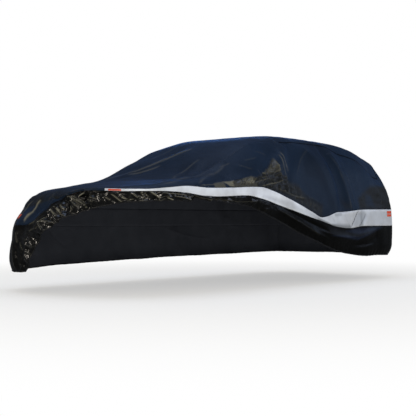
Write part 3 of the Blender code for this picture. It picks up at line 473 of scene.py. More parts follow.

# Places that are crinkled or painted with highlight, shade or sheen, each drawn as an outline.
PATCHES = (
    # crinkled patch above the stripe, from its front back, with painted grey and beige reflections
    Patch(Zone.PANEL, Seen.NEAR,
          ((-1.06, 0.944), (-0.92, 0.963), (-0.93, 0.900), (-1.07, 0.900)),
          crinkle=0.1, pale=0.34, painted_shading=0.6, edge=0.006),
    Patch(Zone.PANEL, Seen.NEAR,
          ((-0.92, 0.964), (-0.80, 0.974), (-0.82, 0.928), (-0.87, 0.926)),
          pale=0.72, painted_shading=0.3, edge=0.006),
    Patch(Zone.PANEL, Seen.NEAR,
          ((-0.81, 0.973), (-0.53, 1.022), (-0.46, 1.010), (-0.50, 0.900), (-0.93, 0.900),
           (-0.83, 0.928)),
          crinkle=0.9, pale=0.18, painted_shading=0.9, edge=0.008),
    Patch(Zone.PANEL, Seen.NEAR,
          ((-0.48, 1.010), (-0.31, 1.068), (-0.07, 1.214), (-0.05, 1.112), (-0.04, 1.060),
           (0.06, 1.045), (0.03, 0.900), (-0.52, 0.900)),
          crinkle=0.9, painted_shading=1.0, edge=0.015),
    Patch(Zone.PANEL, Seen.NEAR,
          ((-0.07, 1.218), (-0.31, 1.054), (-0.06, 1.092)),
          crinkle=0.5, pale=0.20, painted_shading=0.3, edge=0.008),
    # navy side behind it and above the rear of the stripe, with painted dark shade and reflection
    Patch(Zone.PANEL, Seen.NEAR,
          ((-0.20, 0.900), (-0.02, 1.010), (0.20, 0.965), (0.29, 0.871), (0.56, 0.775),
           (0.52, 0.660), (0.17, 0.780)),
          crinkle=0.35, painted_shading=1.0, edge=0.035),
    Patch(Zone.PANEL, Seen.NEAR,
          ((1.24, 0.860), (1.33, 0.904), (1.52, 0.995), (2.20, 1.010), (2.20, 0.740),
           (1.22, 0.740)),
          crinkle=0.1, painted_shading=1.0, edge=0.030),
    Patch(Zone.PANEL, Seen.NEAR,
          ((1.38, 0.905), (1.50, 0.890), (1.54, 0.775), (1.36, 0.775)),
          painted_shading=-0.5, edge=0.030),
    Patch(Zone.PANEL, Seen.NEAR,
          ((0.93, 0.820), (1.04, 0.800), (1.06, 0.745), (0.95, 0.740)),
          painted_shading=0.5, edge=0.030),
    # upper edge of the crinkled patch, with a painted highlight
    Patch(Zone.PANEL, Seen.NEAR,
          ((-0.66, 0.998), (-0.53, 1.026), (-0.46, 1.014), (-0.53, 0.960), (-0.66, 0.955)),
          pale=0.22, edge=0.012),
    # nose above the bunched skirt, with painted shade and two painted fold shadows
    Patch(Zone.PANEL, Seen.NOSE,
          ((-0.30, 0.600), (0.70, 0.600), (0.70, 1.000), (-0.30, 1.000)),
          painted_shading=0.60, edge=0.060),
    Patch(Zone.PANEL, Seen.NOSE,
          ((-0.62, 0.860), (-0.32, 0.880), (-0.22, 0.800), (-0.22, 0.600), (-0.62, 0.500)),
          crinkle=0.2, painted_shading=0.75, edge=0.050),
    Patch(Zone.PANEL, Seen.NOSE,
          ((-0.08, 0.834), (-0.05, 0.802), (0.04, 0.780), (0.13, 0.772), (0.13, 0.797),
           (0.04, 0.818)),
          crinkle=0.2, painted_shading=1.0, edge=0.008),
    Patch(Zone.PANEL, Seen.NOSE,
          ((0.11, 0.841), (0.14, 0.876), (0.24, 0.892), (0.30, 0.868), (0.17, 0.836)),
          crinkle=0.2, painted_shading=1.0, edge=0.008),
    # stripe: its far end on the nose painted dark as in shadow, and painted shade along the side
    Patch(Zone.STRIPE, Seen.NOSE,
          ((-1.00, 0.450), (-1.00, 0.900), (-0.30, 0.900), (-0.30, 0.450)),
          pale=1.0, edge=0.020),
    Patch(Zone.STRIPE, Seen.NEAR,
          ((-0.40, 0.860), (0.00, 0.805), (0.30, 0.705), (0.60, 0.610), (0.65, 0.560),
           (0.30, 0.650), (0.00, 0.750), (-0.43, 0.840)),
          painted_shading=0.35, edge=0.020),
    Patch(Zone.STRIPE, Seen.NEAR,
          ((0.45, 0.650), (0.66, 0.592), (1.00, 0.580), (1.05, 0.560), (1.00, 0.530),
           (0.66, 0.545), (0.45, 0.600)),
          pale=0.10, painted_shading=0.75, edge=0.012),
    Patch(Zone.STRIPE, Seen.NEAR,
          ((0.72, 0.700), (0.86, 0.706), (0.86, 0.678), (0.74, 0.665)),
          painted_shading=0.45, edge=0.015),
    Patch(Zone.STRIPE, Seen.NEAR,
          ((1.06, 0.562), (1.19, 0.562), (1.34, 0.680), (1.30, 0.730), (1.20, 0.730)),
          painted_shading=0.30, edge=0.025),
    Patch(Zone.STRIPE, Seen.NEAR,
          ((1.24, 0.735), (2.20, 0.735), (2.20, 0.562), (1.20, 0.562)),
          painted_shading=0.50, edge=0.020),
    Patch(Zone.STRIPE, Seen.NEAR,
          ((0.15, 0.860), (0.50, 0.705), (0.75, 0.705), (1.24, 0.725), (1.24, 0.560),
           (0.75, 0.560), (0.45, 0.620), (0.15, 0.780)),
          painted_shading=0.40, edge=0.030),
    # skirt behind the low point of the stripe, with a painted blue sheen along its folds
    Patch(Zone.SKIRT, Seen.NEAR,
          ((0.92, 0.520), (1.20, 0.550), (1.66, 0.556), (1.45, 0.520), (1.15, 0.485)),
          painted_shading=0.7, edge=0.016),
    Patch(Zone.SKIRT, Seen.NEAR,
          ((0.66, 0.478), (0.90, 0.480), (1.15, 0.458), (1.62, 0.545), (1.14, 0.425)),
          painted_shading=0.6, edge=0.012),
)


def column(table: Sequence, name: str) -> np.ndarray:
    """One named column of a table.

    Args:
        table: Rows that have the field.
        name: Field's name.

    Returns:
        The column's values in order.
    """
    return np.array([getattr(row, name) for row in table], dtype=float)


def smooth_line(keys: np.ndarray, values: np.ndarray, at: np.ndarray) -> np.ndarray:
    """Read a smooth line through a table's rows that never overshoots them.

    Args:
        keys: Rising places of the rows.
        values: Their values.
        at: Places to read.

    Returns:
        Value at each place.
    """
    step = np.diff(keys)
    slope = np.diff(values) / step
    before, after = slope[:-1], slope[1:]
    rising = before * after > 0
    total = np.where(rising, before + after, 1.0)
    tangent = np.empty_like(values)
    tangent[1:-1] = np.where(rising, 2 * before * after / total, 0.0)
    tangent[0], tangent[-1] = slope[0], slope[-1]
    k = np.clip(np.searchsorted(keys, at, side="right") - 1, 0, len(step) - 1)
    t = np.clip((at - keys[k]) / step[k], 0.0, 1.0)
    bend_in = t * (1 - t) ** 2 * step[k] * tangent[k]
    bend_out = t * t * (1 - t) * step[k] * tangent[k + 1]
    blend = t * t * (3 - 2 * t)
    return values[k] * (1 - blend) + values[k + 1] * blend + bend_in - bend_out


def read(table: Sequence, key: str, name: str, at: np.ndarray) -> np.ndarray:
    """Smooth value of one column of a table.

    Args:
        table: Rows.
        key: Field that holds the rows' places.
        name: Field to read.
        at: Places to read.

    Returns:
        Value at each place.
    """
    return smooth_line(column(table, key), column(table, name), np.asarray(at, dtype=float))


def unit(vectors: np.ndarray) -> np.ndarray:
    """Vectors of length one, from vectors of any length."""
    return vectors / np.maximum(np.linalg.norm(vectors, axis=-1, keepdims=True), 1e-9)


def smooth_step(values: np.ndarray, low: float, high: float) -> np.ndarray:
    """Rise softly from 0 to 1 between two values.

    Args:
        values: Where to read it.
        low: Value at which it leaves 0.
        high: Value at which it reaches 1, which may be lower than low.

    Returns:
        Share from 0 to 1.
    """
    t = np.clip((values - low) / (high - low), 0, 1)
    return t * t * (3 - 2 * t)


@dataclass
class Form:
    """The draped form of the cover without its small creases, from the tables above."""

    nose_bow: float = 0.07       # how far the nose bulges forward of its corners, in plan
    tail_y: float = 2.17         # rearmost line of the tail
    tail_box: float = 2.8        # how square the tail's corners are in plan; 2 is round
    tail_fall: float = 66.0      # slope of the middle of the tail under the top, degrees
    rim_power: float = 6.0       # how flat the top is across before it turns down to its rim
    tuck_height: float = 0.12    # height over which the hem curls in under the skirt
    spine: tuple[float, float] = (-1.3, 1.5)    # ends of the line that the hem curls in towards
    stand_limit: float = 3.0     # steepest start of the wall, as a multiple of its slope

    def places(self) -> np.ndarray:
        """Running positions of the fine columns along a side."""
        runs = [np.linspace(s.start, s.end, s.count * FINENESS, endpoint=False) for s in SPANS]
        return np.append(np.concatenate(runs), SPANS[-1].end)

    def crown(self, across: np.ndarray, rim_z: np.ndarray, lift: np.ndarray,
              mid_z: np.ndarray) -> np.ndarray:
        """Height of the top across it.

        Args:
            across: From -1 at the far rim to 1 at the near rim.
            rim_z: Height of the far rim.
            lift: How much higher the near rim lies.
            mid_z: Height in the middle.

        Returns:
            Height at each place.
        """
        edge = rim_z + lift * (1 + across) / 2
        return edge + (mid_z - edge) * (1 - np.abs(across) ** self.rim_power)

    def side_guides(self, places: np.ndarray, heights: Sequence[Height], side: int) -> dict:
        """Guide points of each column on one side.

        Args:
            places: Running positions.
            heights: The side's table of heights.
            side: 1 near, -1 far.

        Returns:
            Guide arrays by name.
        """
        place = {name: read(STATIONS, "along", name, places)
                 for name in Station.__dataclass_fields__}
        rim_z = place["rim_z"] + place["lift"] * (side > 0)
        guides = {name: place[name] for name in ("fall", "stand", "full")}
        guides["belt"] = np.stack([side * place["belt_x"], place["belt_y"]], axis=-1)
        guides["skirt"] = np.stack([side * place["skirt_x"], place["skirt_y"]], axis=-1)
        guides["rim"] = np.stack([side * place["rim_x"], place["rim_y"], rim_z], axis=-1)
        for name in ("top", "bottom", "hem"):
            guides[name] = read(heights, "at", name, places)
        return guides

    def end_guides(self, across: np.ndarray, station: Station) -> dict:
        """Guide points that the nose and the tail share.

        Args:
            across: From -1 far to 1 near.
            station: The side's first or last station.

        Returns:
            Guide arrays by name.
        """
        rim_y = station.rim_y + (station.mid_y - station.rim_y) * (1 - across ** 2)
        rim_z = self.crown(across, station.rim_z, station.lift, station.mid_z)
        return {
            "rim": np.stack([across * station.rim_x, rim_y, rim_z], axis=-1),
            "stand": np.full_like(across, station.stand),
            "full": np.full_like(across, station.full),
        }

    def nose_guides(self, across: np.ndarray) -> dict:
        """Guide points of each column on the nose.

        Args:
            across: From -1 far to 1 near.

        Returns:
            Guide arrays by name.
        """
        station = STATIONS[0]
        ahead = self.nose_bow * (1 - across ** 2)
        guides = self.end_guides(across, station)
        guides["belt"] = np.stack([across * station.belt_x, station.belt_y - ahead], axis=-1)
        guides["skirt"] = np.stack([across * station.skirt_x, station.skirt_y - ahead], axis=-1)
        guides["fall"] = np.full_like(across, station.fall)
        for name in ("top", "bottom", "hem"):
            guides[name] = read(NOSE_HEIGHTS, "at", name, across * station.skirt_x)
        return guides

    def tail_guides(self, across: np.ndarray) -> dict:
        """Guide points of each column on the tail.

        Args:
            across: From -1 far to 1 near.

        Returns:
            Guide arrays by name.
        """
        station = STATIONS[-1]
        turn = across * np.pi / 2
        out = np.sign(across) * np.abs(np.sin(turn)) ** (2 / self.tail_box)
        back = np.abs(np.cos(turn)) ** (2 / self.tail_box)
        guides = self.end_guides(across, station)
        y = station.belt_y + (self.tail_y - station.belt_y) * back
        guides["belt"] = np.stack([out * station.belt_x, y], axis=-1)
        guides["skirt"] = np.stack([out * station.skirt_x, y], axis=-1)
        guides["fall"] = self.tail_fall + (station.fall - self.tail_fall) * across ** 2
        for name in ("top", "bottom", "hem"):
            guides[name] = np.full_like(across, getattr(NEAR_HEIGHTS[-1], name))
        return guides

    def hang(self, guides: dict, height: np.ndarray) -> np.ndarray:
        """Points of the hanging cloth.

        Args:
            guides: Guide arrays.
            height: Height above the floor in each column.

        Returns:
            One point for each column.
        """
        share = read(FLARES, "height", "share", height)[:, None]
        plan = guides["belt"] + (guides["skirt"] - guides["belt"]) * share
        spine = np.stack([np.zeros_like(height), np.clip(plan[:, 1], *self.spine)], axis=-1)
        near_hem = np.clip(1 - (height - guides["hem"]) / self.tuck_height, 0, 1)[:, None]
        depth = read(TUCKS, "y", "depth", plan[:, 1])[:, None]
        plan = plan - unit(plan - spine) * depth * near_hem ** 2
        return np.concatenate([plan, height[:, None]], axis=-1)

    def wall_row(self, guides: dict, w: float) -> np.ndarray:
        """Points of the wall at one share of the way from the stripe up to the rim.

        Args:
            guides: Guide arrays.
            w: Share from 0 to 1.

        Returns:
            One point for each column.
        """
        foot = self.hang(guides, guides["top"])
        run = guides["rim"] - foot
        reach = np.maximum(np.linalg.norm(run[:, :2], axis=-1), 1e-6)
        chord = np.hypot(reach, run[:, 2])
        inward = run[:, :2] / reach[:, None]
        slope = np.degrees(np.arctan2(run[:, 2], reach))
        limit = np.maximum(self.stand_limit * slope, 0)
        stand = np.radians(np.minimum(guides["stand"], limit))
        fall = np.radians(guides["fall"])
        handle = guides["full"] * chord

        def leaning(angle: np.ndarray) -> np.ndarray:
            """Handle that leans inward at an angle."""
            level = inward * (np.cos(angle) * handle)[:, None]
            return np.concatenate([level, (np.sin(angle) * handle)[:, None]], axis=-1)

        low = foot + leaning(stand)
        high = guides["rim"] - leaning(fall)
        return ((1 - w) ** 3 * foot + 3 * (1 - w) ** 2 * w * low
                + 3 * (1 - w) * w ** 2 * high + w ** 3 * guides["rim"])

    def wall_block(self, guides: dict) -> np.ndarray:
        """Rows of points from the hem to the rim.

        Args:
            guides: Guide arrays.

        Returns:
            Array of rows, columns and coordinates.
        """
        hem, bottom, top = guides["hem"], guides["bottom"], guides["top"]
        rows = [self.hang(guides, hem + (bottom - hem) * k / SKIRT_ROWS)
                for k in range(SKIRT_ROWS)]
        rows += [self.hang(guides, bottom + (top - bottom) * k / STRIPE_ROWS)
                 for k in range(STRIPE_ROWS)]
        rows += [self.wall_row(guides, k / WALL_ROWS) for k in range(WALL_ROWS + 1)]
        return np.array(rows)

    def top_block(self, places: np.ndarray, across: np.ndarray) -> np.ndarray:
        """Rows of points of the top.

        Args:
            places: Running positions, nose to tail.
            across: From -1 far to 1 near.

        Returns:
            Array of rows, columns and coordinates.
        """
        place = {name: read(STATIONS, "along", name, places)[:, None]
                 for name in Station.__dataclass_fields__}
        u = across[None, :]
        x = place["rim_x"] * u
        y = place["rim_y"] + (place["mid_y"] - place["rim_y"]) * (1 - u ** 2)
        z = self.crown(u, place["rim_z"], place["lift"], place["mid_z"])
        return np.stack([x, y, z], axis=-1)


def ripple(points: np.ndarray, waves: Sequence[Ripple]) -> np.ndarray:
    """How far a set of waves stands out.

    Args:
        points: Where to read it.
        waves: The waves.

    Returns:
        Distance out at each point.
    """
    out = np.zeros(points.shape[:-1])
    for wave in waves:
        turns = points @ np.array([wave.per_x, wave.per_y, wave.per_z])
        out += wave.rise * np.sin(2 * np.pi * turns + wave.phase)
    return out


def facing_share(seen: Seen, normals: np.ndarray) -> np.ndarray:
    """How far the cloth faces the side that a mark is drawn from, from 0 to 1."""
    return np.clip(2 * normals @ np.array(seen.value[0]), 0, 1)


def crease_reach(crease: Crease, points: np.ndarray,
                 normals: np.ndarray) -> tuple[np.ndarray, np.ndarray]:
    """How each point lies to a crease.

    Args:
        crease: The crease.
        points: Points of the cloth.
        normals: Outward direction at each.

    Returns:
        Distance from the crease's line, and the crease's strength there.
    """
    _, first, second = crease.seen.value
    a = points[:, first] - crease.from_a
    b = points[:, second] - crease.from_b
    run_a, run_b = crease.to_a - crease.from_a, crease.to_b - crease.from_b
    length = np.hypot(run_a, run_b)
    t = np.clip((a * run_a + b * run_b) / length ** 2, 0, 1)
    off = (a * run_b - b * run_a) / length - crease.bow * 4 * t * (1 - t)
    past = np.hypot(a - run_a * t, b - run_b * t)
    across = np.maximum(np.abs(off), np.where((t <= 0) | (t >= 1), past, 0))
    taper = np.clip(4 * t * (1 - t) * END_TAPER, 0, 1) ** 0.5
    return across, taper * facing_share(crease.seen, normals)


def crease_rise(crease: Crease, profile: Profile, points: np.ndarray,
                normals: np.ndarray) -> np.ndarray:
    """How far one crease stands out.

    Args:
        crease: The crease.
        profile: Its cross-section.
        points: Points of the cloth.
        normals: Outward direction at each.

    Returns:
        Distance out at each point.
    """
    across, strength = crease_reach(crease, points, normals)
    if profile is Profile.SOFT:
        section = np.exp(-(across / crease.width) ** 2)
    else:
        rounding = CREST_ROUNDING * crease.width
        fade_from, fade_to = (widths * crease.width for widths in FLANK_FADE)
        section = np.exp(-(np.hypot(across, rounding) - rounding) / crease.width)
        section *= smooth_step(across, fade_to, fade_from)
    return crease.rise * section * strength


def patch_share(patch: Patch, points: np.ndarray, normals: np.ndarray) -> np.ndarray:
    """How far each point lies in a patch.

    Args:
        patch: The patch.
        points: Points of the cloth.
        normals: Outward direction at each.

    Returns:
        1 inside and 0 outside, with a soft step between them.
    """
    _, first, second = patch.seen.value
    a, b = points[:, first], points[:, second]
    nearest, inside = np.full(len(points), np.inf), np.zeros(len(points), dtype=bool)
    corners = patch.outline
    for (a0, b0), (a1, b1) in zip(corners, corners[1:] + corners[:1]):
        t = np.clip(((a - a0) * (a1 - a0) + (b - b0) * (b1 - b0))
                    / ((a1 - a0) ** 2 + (b1 - b0) ** 2), 0, 1)
        nearest = np.minimum(nearest, np.hypot(a - a0 - t * (a1 - a0), b - b0 - t * (b1 - b0)))
        if b0 != b1:
            inside ^= ((b0 > b) != (b1 > b)) & (a < a0 + (b - b0) * (a1 - a0) / (b1 - b0))
    signed = np.where(inside, nearest, -nearest)
    return smooth_step(signed, -patch.edge, patch.edge) * facing_share(patch.seen, normals)


@dataclass
class Crumple:
    """Sharp-edged crinkles of coated cloth: flat facets that meet in crisp bent lines.

    Args:
        seed: Start of the random directions.
        long: Longest wave, in metres.
        short: Shortest wave, in metres.
        waves: How many sets of parallel bends.
        steepness: Height of a wave over its length.
        wander: How far a bend strays from its line, in lengths of its wave.
        wander_run: Distance over which it strays to and fro, in the same lengths.
        patch_run: Distance over which a wave comes and goes, in the same lengths.
    """

    seed: int
    long: float
    short: float
    waves: int
    steepness: float
    wander: float = 0.35
    wander_run: float = 2.3
    patch_run: float = 3.1

    def rise(self, points: np.ndarray) -> np.ndarray:
        """How far the crinkles stand out.

        Args:
            points: Where to read it.

        Returns:
            Distance out at each point, centred on zero.
        """
        chance = np.random.default_rng(self.seed)
        out = np.zeros(len(points))
        lengths = np.geomspace(self.long, self.short, self.waves)
        for length in lengths:
            direction = unit(chance.normal(size=3))
            bend = unit(chance.normal(size=3))
            warp = self.wander * np.sin(points @ bend * 2 * np.pi / (self.wander_run * length)
                                        + chance.uniform(0, FULL_TURN))
            turn = points @ direction / length + warp + chance.uniform(0, 1)
            bent = np.abs(turn - np.round(turn)) * 2 - 0.5
            here = 0.5 + 0.5 * np.sin(points @ unit(chance.normal(size=3)) * 2 * np.pi
                                      / (self.patch_run * length) + chance.uniform(0, FULL_TURN))
            out += self.steepness * length * bent * here
        return out


SKIRT_CRUMPLE = Crumple(seed=11, long=0.20, short=0.05, waves=7, steepness=0.17)
PATCH_CRUMPLE = Crumple(seed=5, long=0.14, short=0.035, waves=7, steepness=0.18)
PACKING_CRUMPLE = Crumple(seed=3, long=0.50, short=0.12, waves=6, steepness=0.03)


def grid_faces(numbers: np.ndarray) -> np.ndarray:
    """Faces of a grid, wound so that they look outward.

    Args:
        numbers: Point numbers by row and column.

    Returns:
        Four point numbers for each face.
    """
    low, high = numbers[:-1], numbers[1:]
    corners = (low[:, :-1], low[:, 1:], high[:, 1:], high[:, :-1])
    return np.stack([c.ravel() for c in corners], axis=-1)


@dataclass
class Cloth:
    """The whole sheet on the fine grid, with every fold, crease and crinkle in it."""

    form: Form = field(default_factory=Form)
    swells_end: float = 0.3         # y at which the swells of the bunched skirt have died out
    swells_fade: float = 0.8        # distance over which they do
    swells_far: float = -0.9        # x at which they start, on the hidden side
    packing: float = 0.35           # how strongly the creases of packing show
    line_width: float = 0.30        # half-width of a crease's painted line, in widths of the crease
    crest_bend: tuple[float, float] = (0.035, 0.16)     # bend at which a crest's painted highlight shows, and fully
    gather_height: float = 0.32     # how far up the skirt the gathers reach, as a share of it
    gather_gap: float = 0.075       # between one gather and the next
    gather_rise: float = 0.0015     # how far a gather stands out

    def __post_init__(self) -> None:
        """Lay out the grid, then drape it."""
        self.places = self.form.places()
        self.across = np.linspace(-1, 1, TOP_COLUMNS + 1)
        self.side, self.inner = len(self.places), TOP_COLUMNS - 1
        build = self.form.wall_block
        near = build(self.form.side_guides(self.places, NEAR_HEIGHTS, 1))
        tail = build(self.form.tail_guides(self.across))[:, ::-1]
        far = build(self.form.side_guides(self.places, FAR_HEIGHTS, -1))[:, ::-1]
        nose = build(self.form.nose_guides(self.across))
        ring = np.concatenate([near, tail[:, 1:-1], far, nose[:, 1:-1]], axis=1)
        top = self.form.top_block(self.places, self.across)
        self.rows, self.around = ring.shape[:2]
        self.ring = np.arange(self.rows * self.around).reshape(self.rows, self.around)
        self.top = self.number_top()
        inside = top[1:-1, 1:-1].reshape(-1, 3)
        self.points = np.concatenate([ring.reshape(-1, 3), inside])
        self.row_of = np.full(len(self.points), self.rows - 1)
        self.row_of[:self.ring.size] = np.repeat(np.arange(self.rows), self.around)
        self.column_of = np.full(len(self.points), -1)
        self.column_of[:self.ring.size] = np.tile(np.arange(self.around), self.rows)
        self.faces = np.concatenate([
            grid_faces(self.ring[:, self.round_ring(0, self.around)]),
            grid_faces(self.top)])
        self.normals = self.find_normals()
        self.drape()

    def number_top(self) -> np.ndarray:
        """Number the top's points, whose border is the ring's last row.

        Returns:
            Numbers by row and column of the top.
        """
        rim, side, inner = self.ring[-1], self.side, self.inner
        top = np.empty((side, inner + 2), dtype=int)
        top[:, -1] = rim[:side]
        top[-1, 1:-1] = rim[side:side + inner][::-1]
        top[:, 0] = rim[side + inner:2 * side + inner][::-1]
        top[0, 1:-1] = rim[2 * side + inner:]
        new = (side - 2) * inner
        top[1:-1, 1:-1] = self.ring.size + np.arange(new).reshape(side - 2, inner)
        return top

    def round_ring(self, start: int, count: int) -> list[int]:
        """Column numbers from start on, going round the ring."""
        return [(start + k) % self.around for k in range(count + 1)]

    def find_normals(self) -> np.ndarray:
        """Work out which way the cloth faces.

        Returns:
            Outward direction at each point.
        """
        a, b, c, d = (self.points[self.faces[:, k]] for k in range(4))
        flat = np.cross(c - a, d - b)
        normals = np.zeros_like(self.points)
        for k in range(4):
            for axis in range(3):
                normals[:, axis] += np.bincount(self.faces[:, k], flat[:, axis],
                                                len(self.points))
        return unit(normals)

    def bunched_share(self) -> np.ndarray:
        """How strongly the skirt is crinkled, most on the nose and the lifted front.

        Returns:
            Strength at each point, from 0 to 1.
        """
        x, y = self.points[:, 0], self.points[:, 1]
        up = self.row_of / SKIRT_ROWS
        # each pair is where the crinkles are not there yet and where they are full
        skirt = np.where(up < 1, smooth_step(up, 1.0, 0.8), 0)
        return skirt * smooth_step(y, 0.1, -1.2) * smooth_step(x, -0.70, -0.10)

    def sum_patches(self, kind: str, zone: Zone) -> np.ndarray:
        """All patches' effect of one kind at each point of a zone, from 0 to 1.

        Args:
            kind: Field of the patches to read.
            zone: Part of the cloth.

        Returns:
            The effect at each point, 0 outside the zone.
        """
        low, high = zone.value
        total = np.zeros(len(self.points))
        for patch, share in zip(PATCHES, self.shares):
            if patch.zone is zone:
                total += getattr(patch, kind) * share
        return np.clip(total, 0, 1) * ((self.row_of >= low) & (self.row_of <= high))

    def marks(self, zone: Zone) -> dict[str, np.ndarray]:
        """What a piece's finish reads at each point.

        Args:
            zone: Part of the cloth that the piece is cut from.

        Returns:
            Values from 0 to 1 by attribute name.
        """
        return {"crinkled": self.crinkled, "crest": self.crest,
                "painted_shading": self.sum_patches("painted_shading", zone),
                "pale": np.clip(self.painted_light + self.sum_patches("pale", zone), 0, 1)}

    def paint_crease_lines(self) -> np.ndarray:
        """Painted highlight along the creases' lines, which is painted shadow on the stripe.

        Returns:
            Strength of the painted line at each point, from 0 to 1.
        """
        pale = np.zeros(len(self.points))
        for crease in CREASES:
            if crease.pale:
                across, strength = crease_reach(crease, self.points, self.normals)
                line = np.exp(-(across / (self.line_width * crease.width)) ** 2)
                pale = np.maximum(pale, crease.pale * strength * line)
        return pale

    def drape(self) -> None:
        """Move the points out and in by the folds, the creases and the crinkles."""
        rise = ripple(self.points, UNEVEN)
        for crease in FOLDS:
            rise += crease_rise(crease, Profile.SOFT, self.points, self.normals)
        skirt = self.row_of / SKIRT_ROWS
        bunched = np.clip((self.swells_end - self.points[:, 1]) / self.swells_fade, 0, 1)
        bunched *= np.clip(self.points[:, 0] - self.swells_far, 0, 1)
        # the swells are full up to a third of the skirt below the stripe
        middle = np.where(skirt < 1, np.clip(3 * (1 - skirt), 0, 1), 0)
        rise += ripple(self.points, CRUMPLE) * bunched * middle
        self.points = self.points + self.normals * rise[:, None]
        self.normals = self.find_normals()
        fine = np.zeros(len(self.points))
        for crease in CREASES:
            fine += crease_rise(crease, Profile.CRISP, self.points, self.normals)
        self.shares = [patch_share(patch, self.points, self.normals) for patch in PATCHES]
        bunched, patchy = self.bunched_share(), self.sum_patches("crinkle", Zone.PANEL)
        seam = Zone.PANEL.value[0]      # the crinkles stop short of the stripe's seam
        patchy *= smooth_step(self.row_of, seam + 1, seam + 5)
        self.crinkled = np.clip(bunched + patchy, 0, 1)
        self.painted_light = self.paint_crease_lines()
        fine += SKIRT_CRUMPLE.rise(self.points) * bunched
        fine += PATCH_CRUMPLE.rise(self.points) * patchy
        fine += PACKING_CRUMPLE.rise(self.points) * self.packing
        fine += self.gathers()
        self.points = self.points + self.normals * fine[:, None]
        self.normals = self.find_normals()
        self.crest = self.find_crests()
        self.points[:, 2] += GROUND

    def find_crests(self) -> np.ndarray:
        """How sharply the cloth bends outward.

        Returns:
            Sharpness at each point, from 0 to 1.
        """
        start, end = self.faces.ravel(), np.roll(self.faces, -1, axis=1).ravel()
        count = np.bincount(start, minlength=len(self.points))
        middle = np.stack([np.bincount(start, self.points[end, k], len(self.points))
                           for k in range(3)], axis=-1) / np.maximum(count, 1)[:, None]
        apart = np.linalg.norm(self.points[end] - self.points[start], axis=-1)
        length = np.bincount(start, apart, len(self.points)) / np.maximum(count, 1)
        out = np.sum((self.points - middle) * self.normals, axis=-1) / np.maximum(length, 1e-6)
        return smooth_step(out, *self.crest_bend)

    def gathers(self) -> np.ndarray:
        """Small gathers that the elastic draws in just above the hem.

        Returns:
            Distance out at each point.
        """
        near_hem = smooth_step(self.row_of, self.gather_height * SKIRT_ROWS, 0)
        run = np.cumsum(np.linalg.norm(np.diff(self.points[self.ring[0]], axis=0,
                                               prepend=self.points[self.ring[0, :1]]), axis=1))
        at = np.where(self.column_of >= 0, run[self.column_of], 0)
        # their spacing and their height wander along the hem
        wave = np.sin(at * 2 * np.pi / self.gather_gap + 2.2 * np.sin(at * 3.1))
        wave *= 0.7 + 0.3 * np.sin(at * 9)
        return self.gather_rise * wave * near_hem * (self.row_of < SKIRT_ROWS)


def linear(hex_colour: str) -> tuple[float, float, float, float]:
    """Turn an sRGB hex colour into linear red, green, blue and alpha.

    Args:
        hex_colour: Such as "#1b2436".

    Returns:
        The linear colour.
    """
    parts = [int(hex_colour[k:k + 2], 16) / 255 for k in (1, 3, 5)]
    bright = [p / 12.92 if p <= 0.04045 else ((p + 0.055) / 1.055) ** 2.4 for p in parts]
    return (*bright, 1.0)


def add_node(tree: NodeTree, kind: str, values: dict | None = None,
             links: dict | None = None, **settings) -> Node:
    """Add one node with its settings and links.

    Args:
        tree: Node tree.
        kind: Node type.
        values: Input values by socket name or number.
        links: Output sockets to link, by the name or number of the input.
        **settings: Properties of the node.

    Returns:
        The node.
    """
    made = tree.nodes.new(kind)
    for name, value in settings.items():
        setattr(made, name, value)
    for name, value in (values or {}).items():
        made.inputs[name].default_value = value
    for name, source in (links or {}).items():
        tree.links.new(source, made.inputs[name])
    return made


def new_material(name: str, colour: str) -> tuple[Material, Node]:
    """Start a material on one Principled shader.

    Args:
        name: Material's name.
        colour: Its sRGB hex colour.

    Returns:
        The material and its shader.
    """
    material = bpy.data.materials.new(name)
    material.use_nodes = True
    shader = material.node_tree.nodes["Principled BSDF"]
    shader.inputs["Base Color"].default_value = linear(colour)
    material.diffuse_color = linear(colour)
    return material, shader


def band_scale(gap_mm: float) -> float:
    """Scale of a Wave texture whose bands are a real distance apart."""
    return math.pi / (gap_mm / 1000) / 10


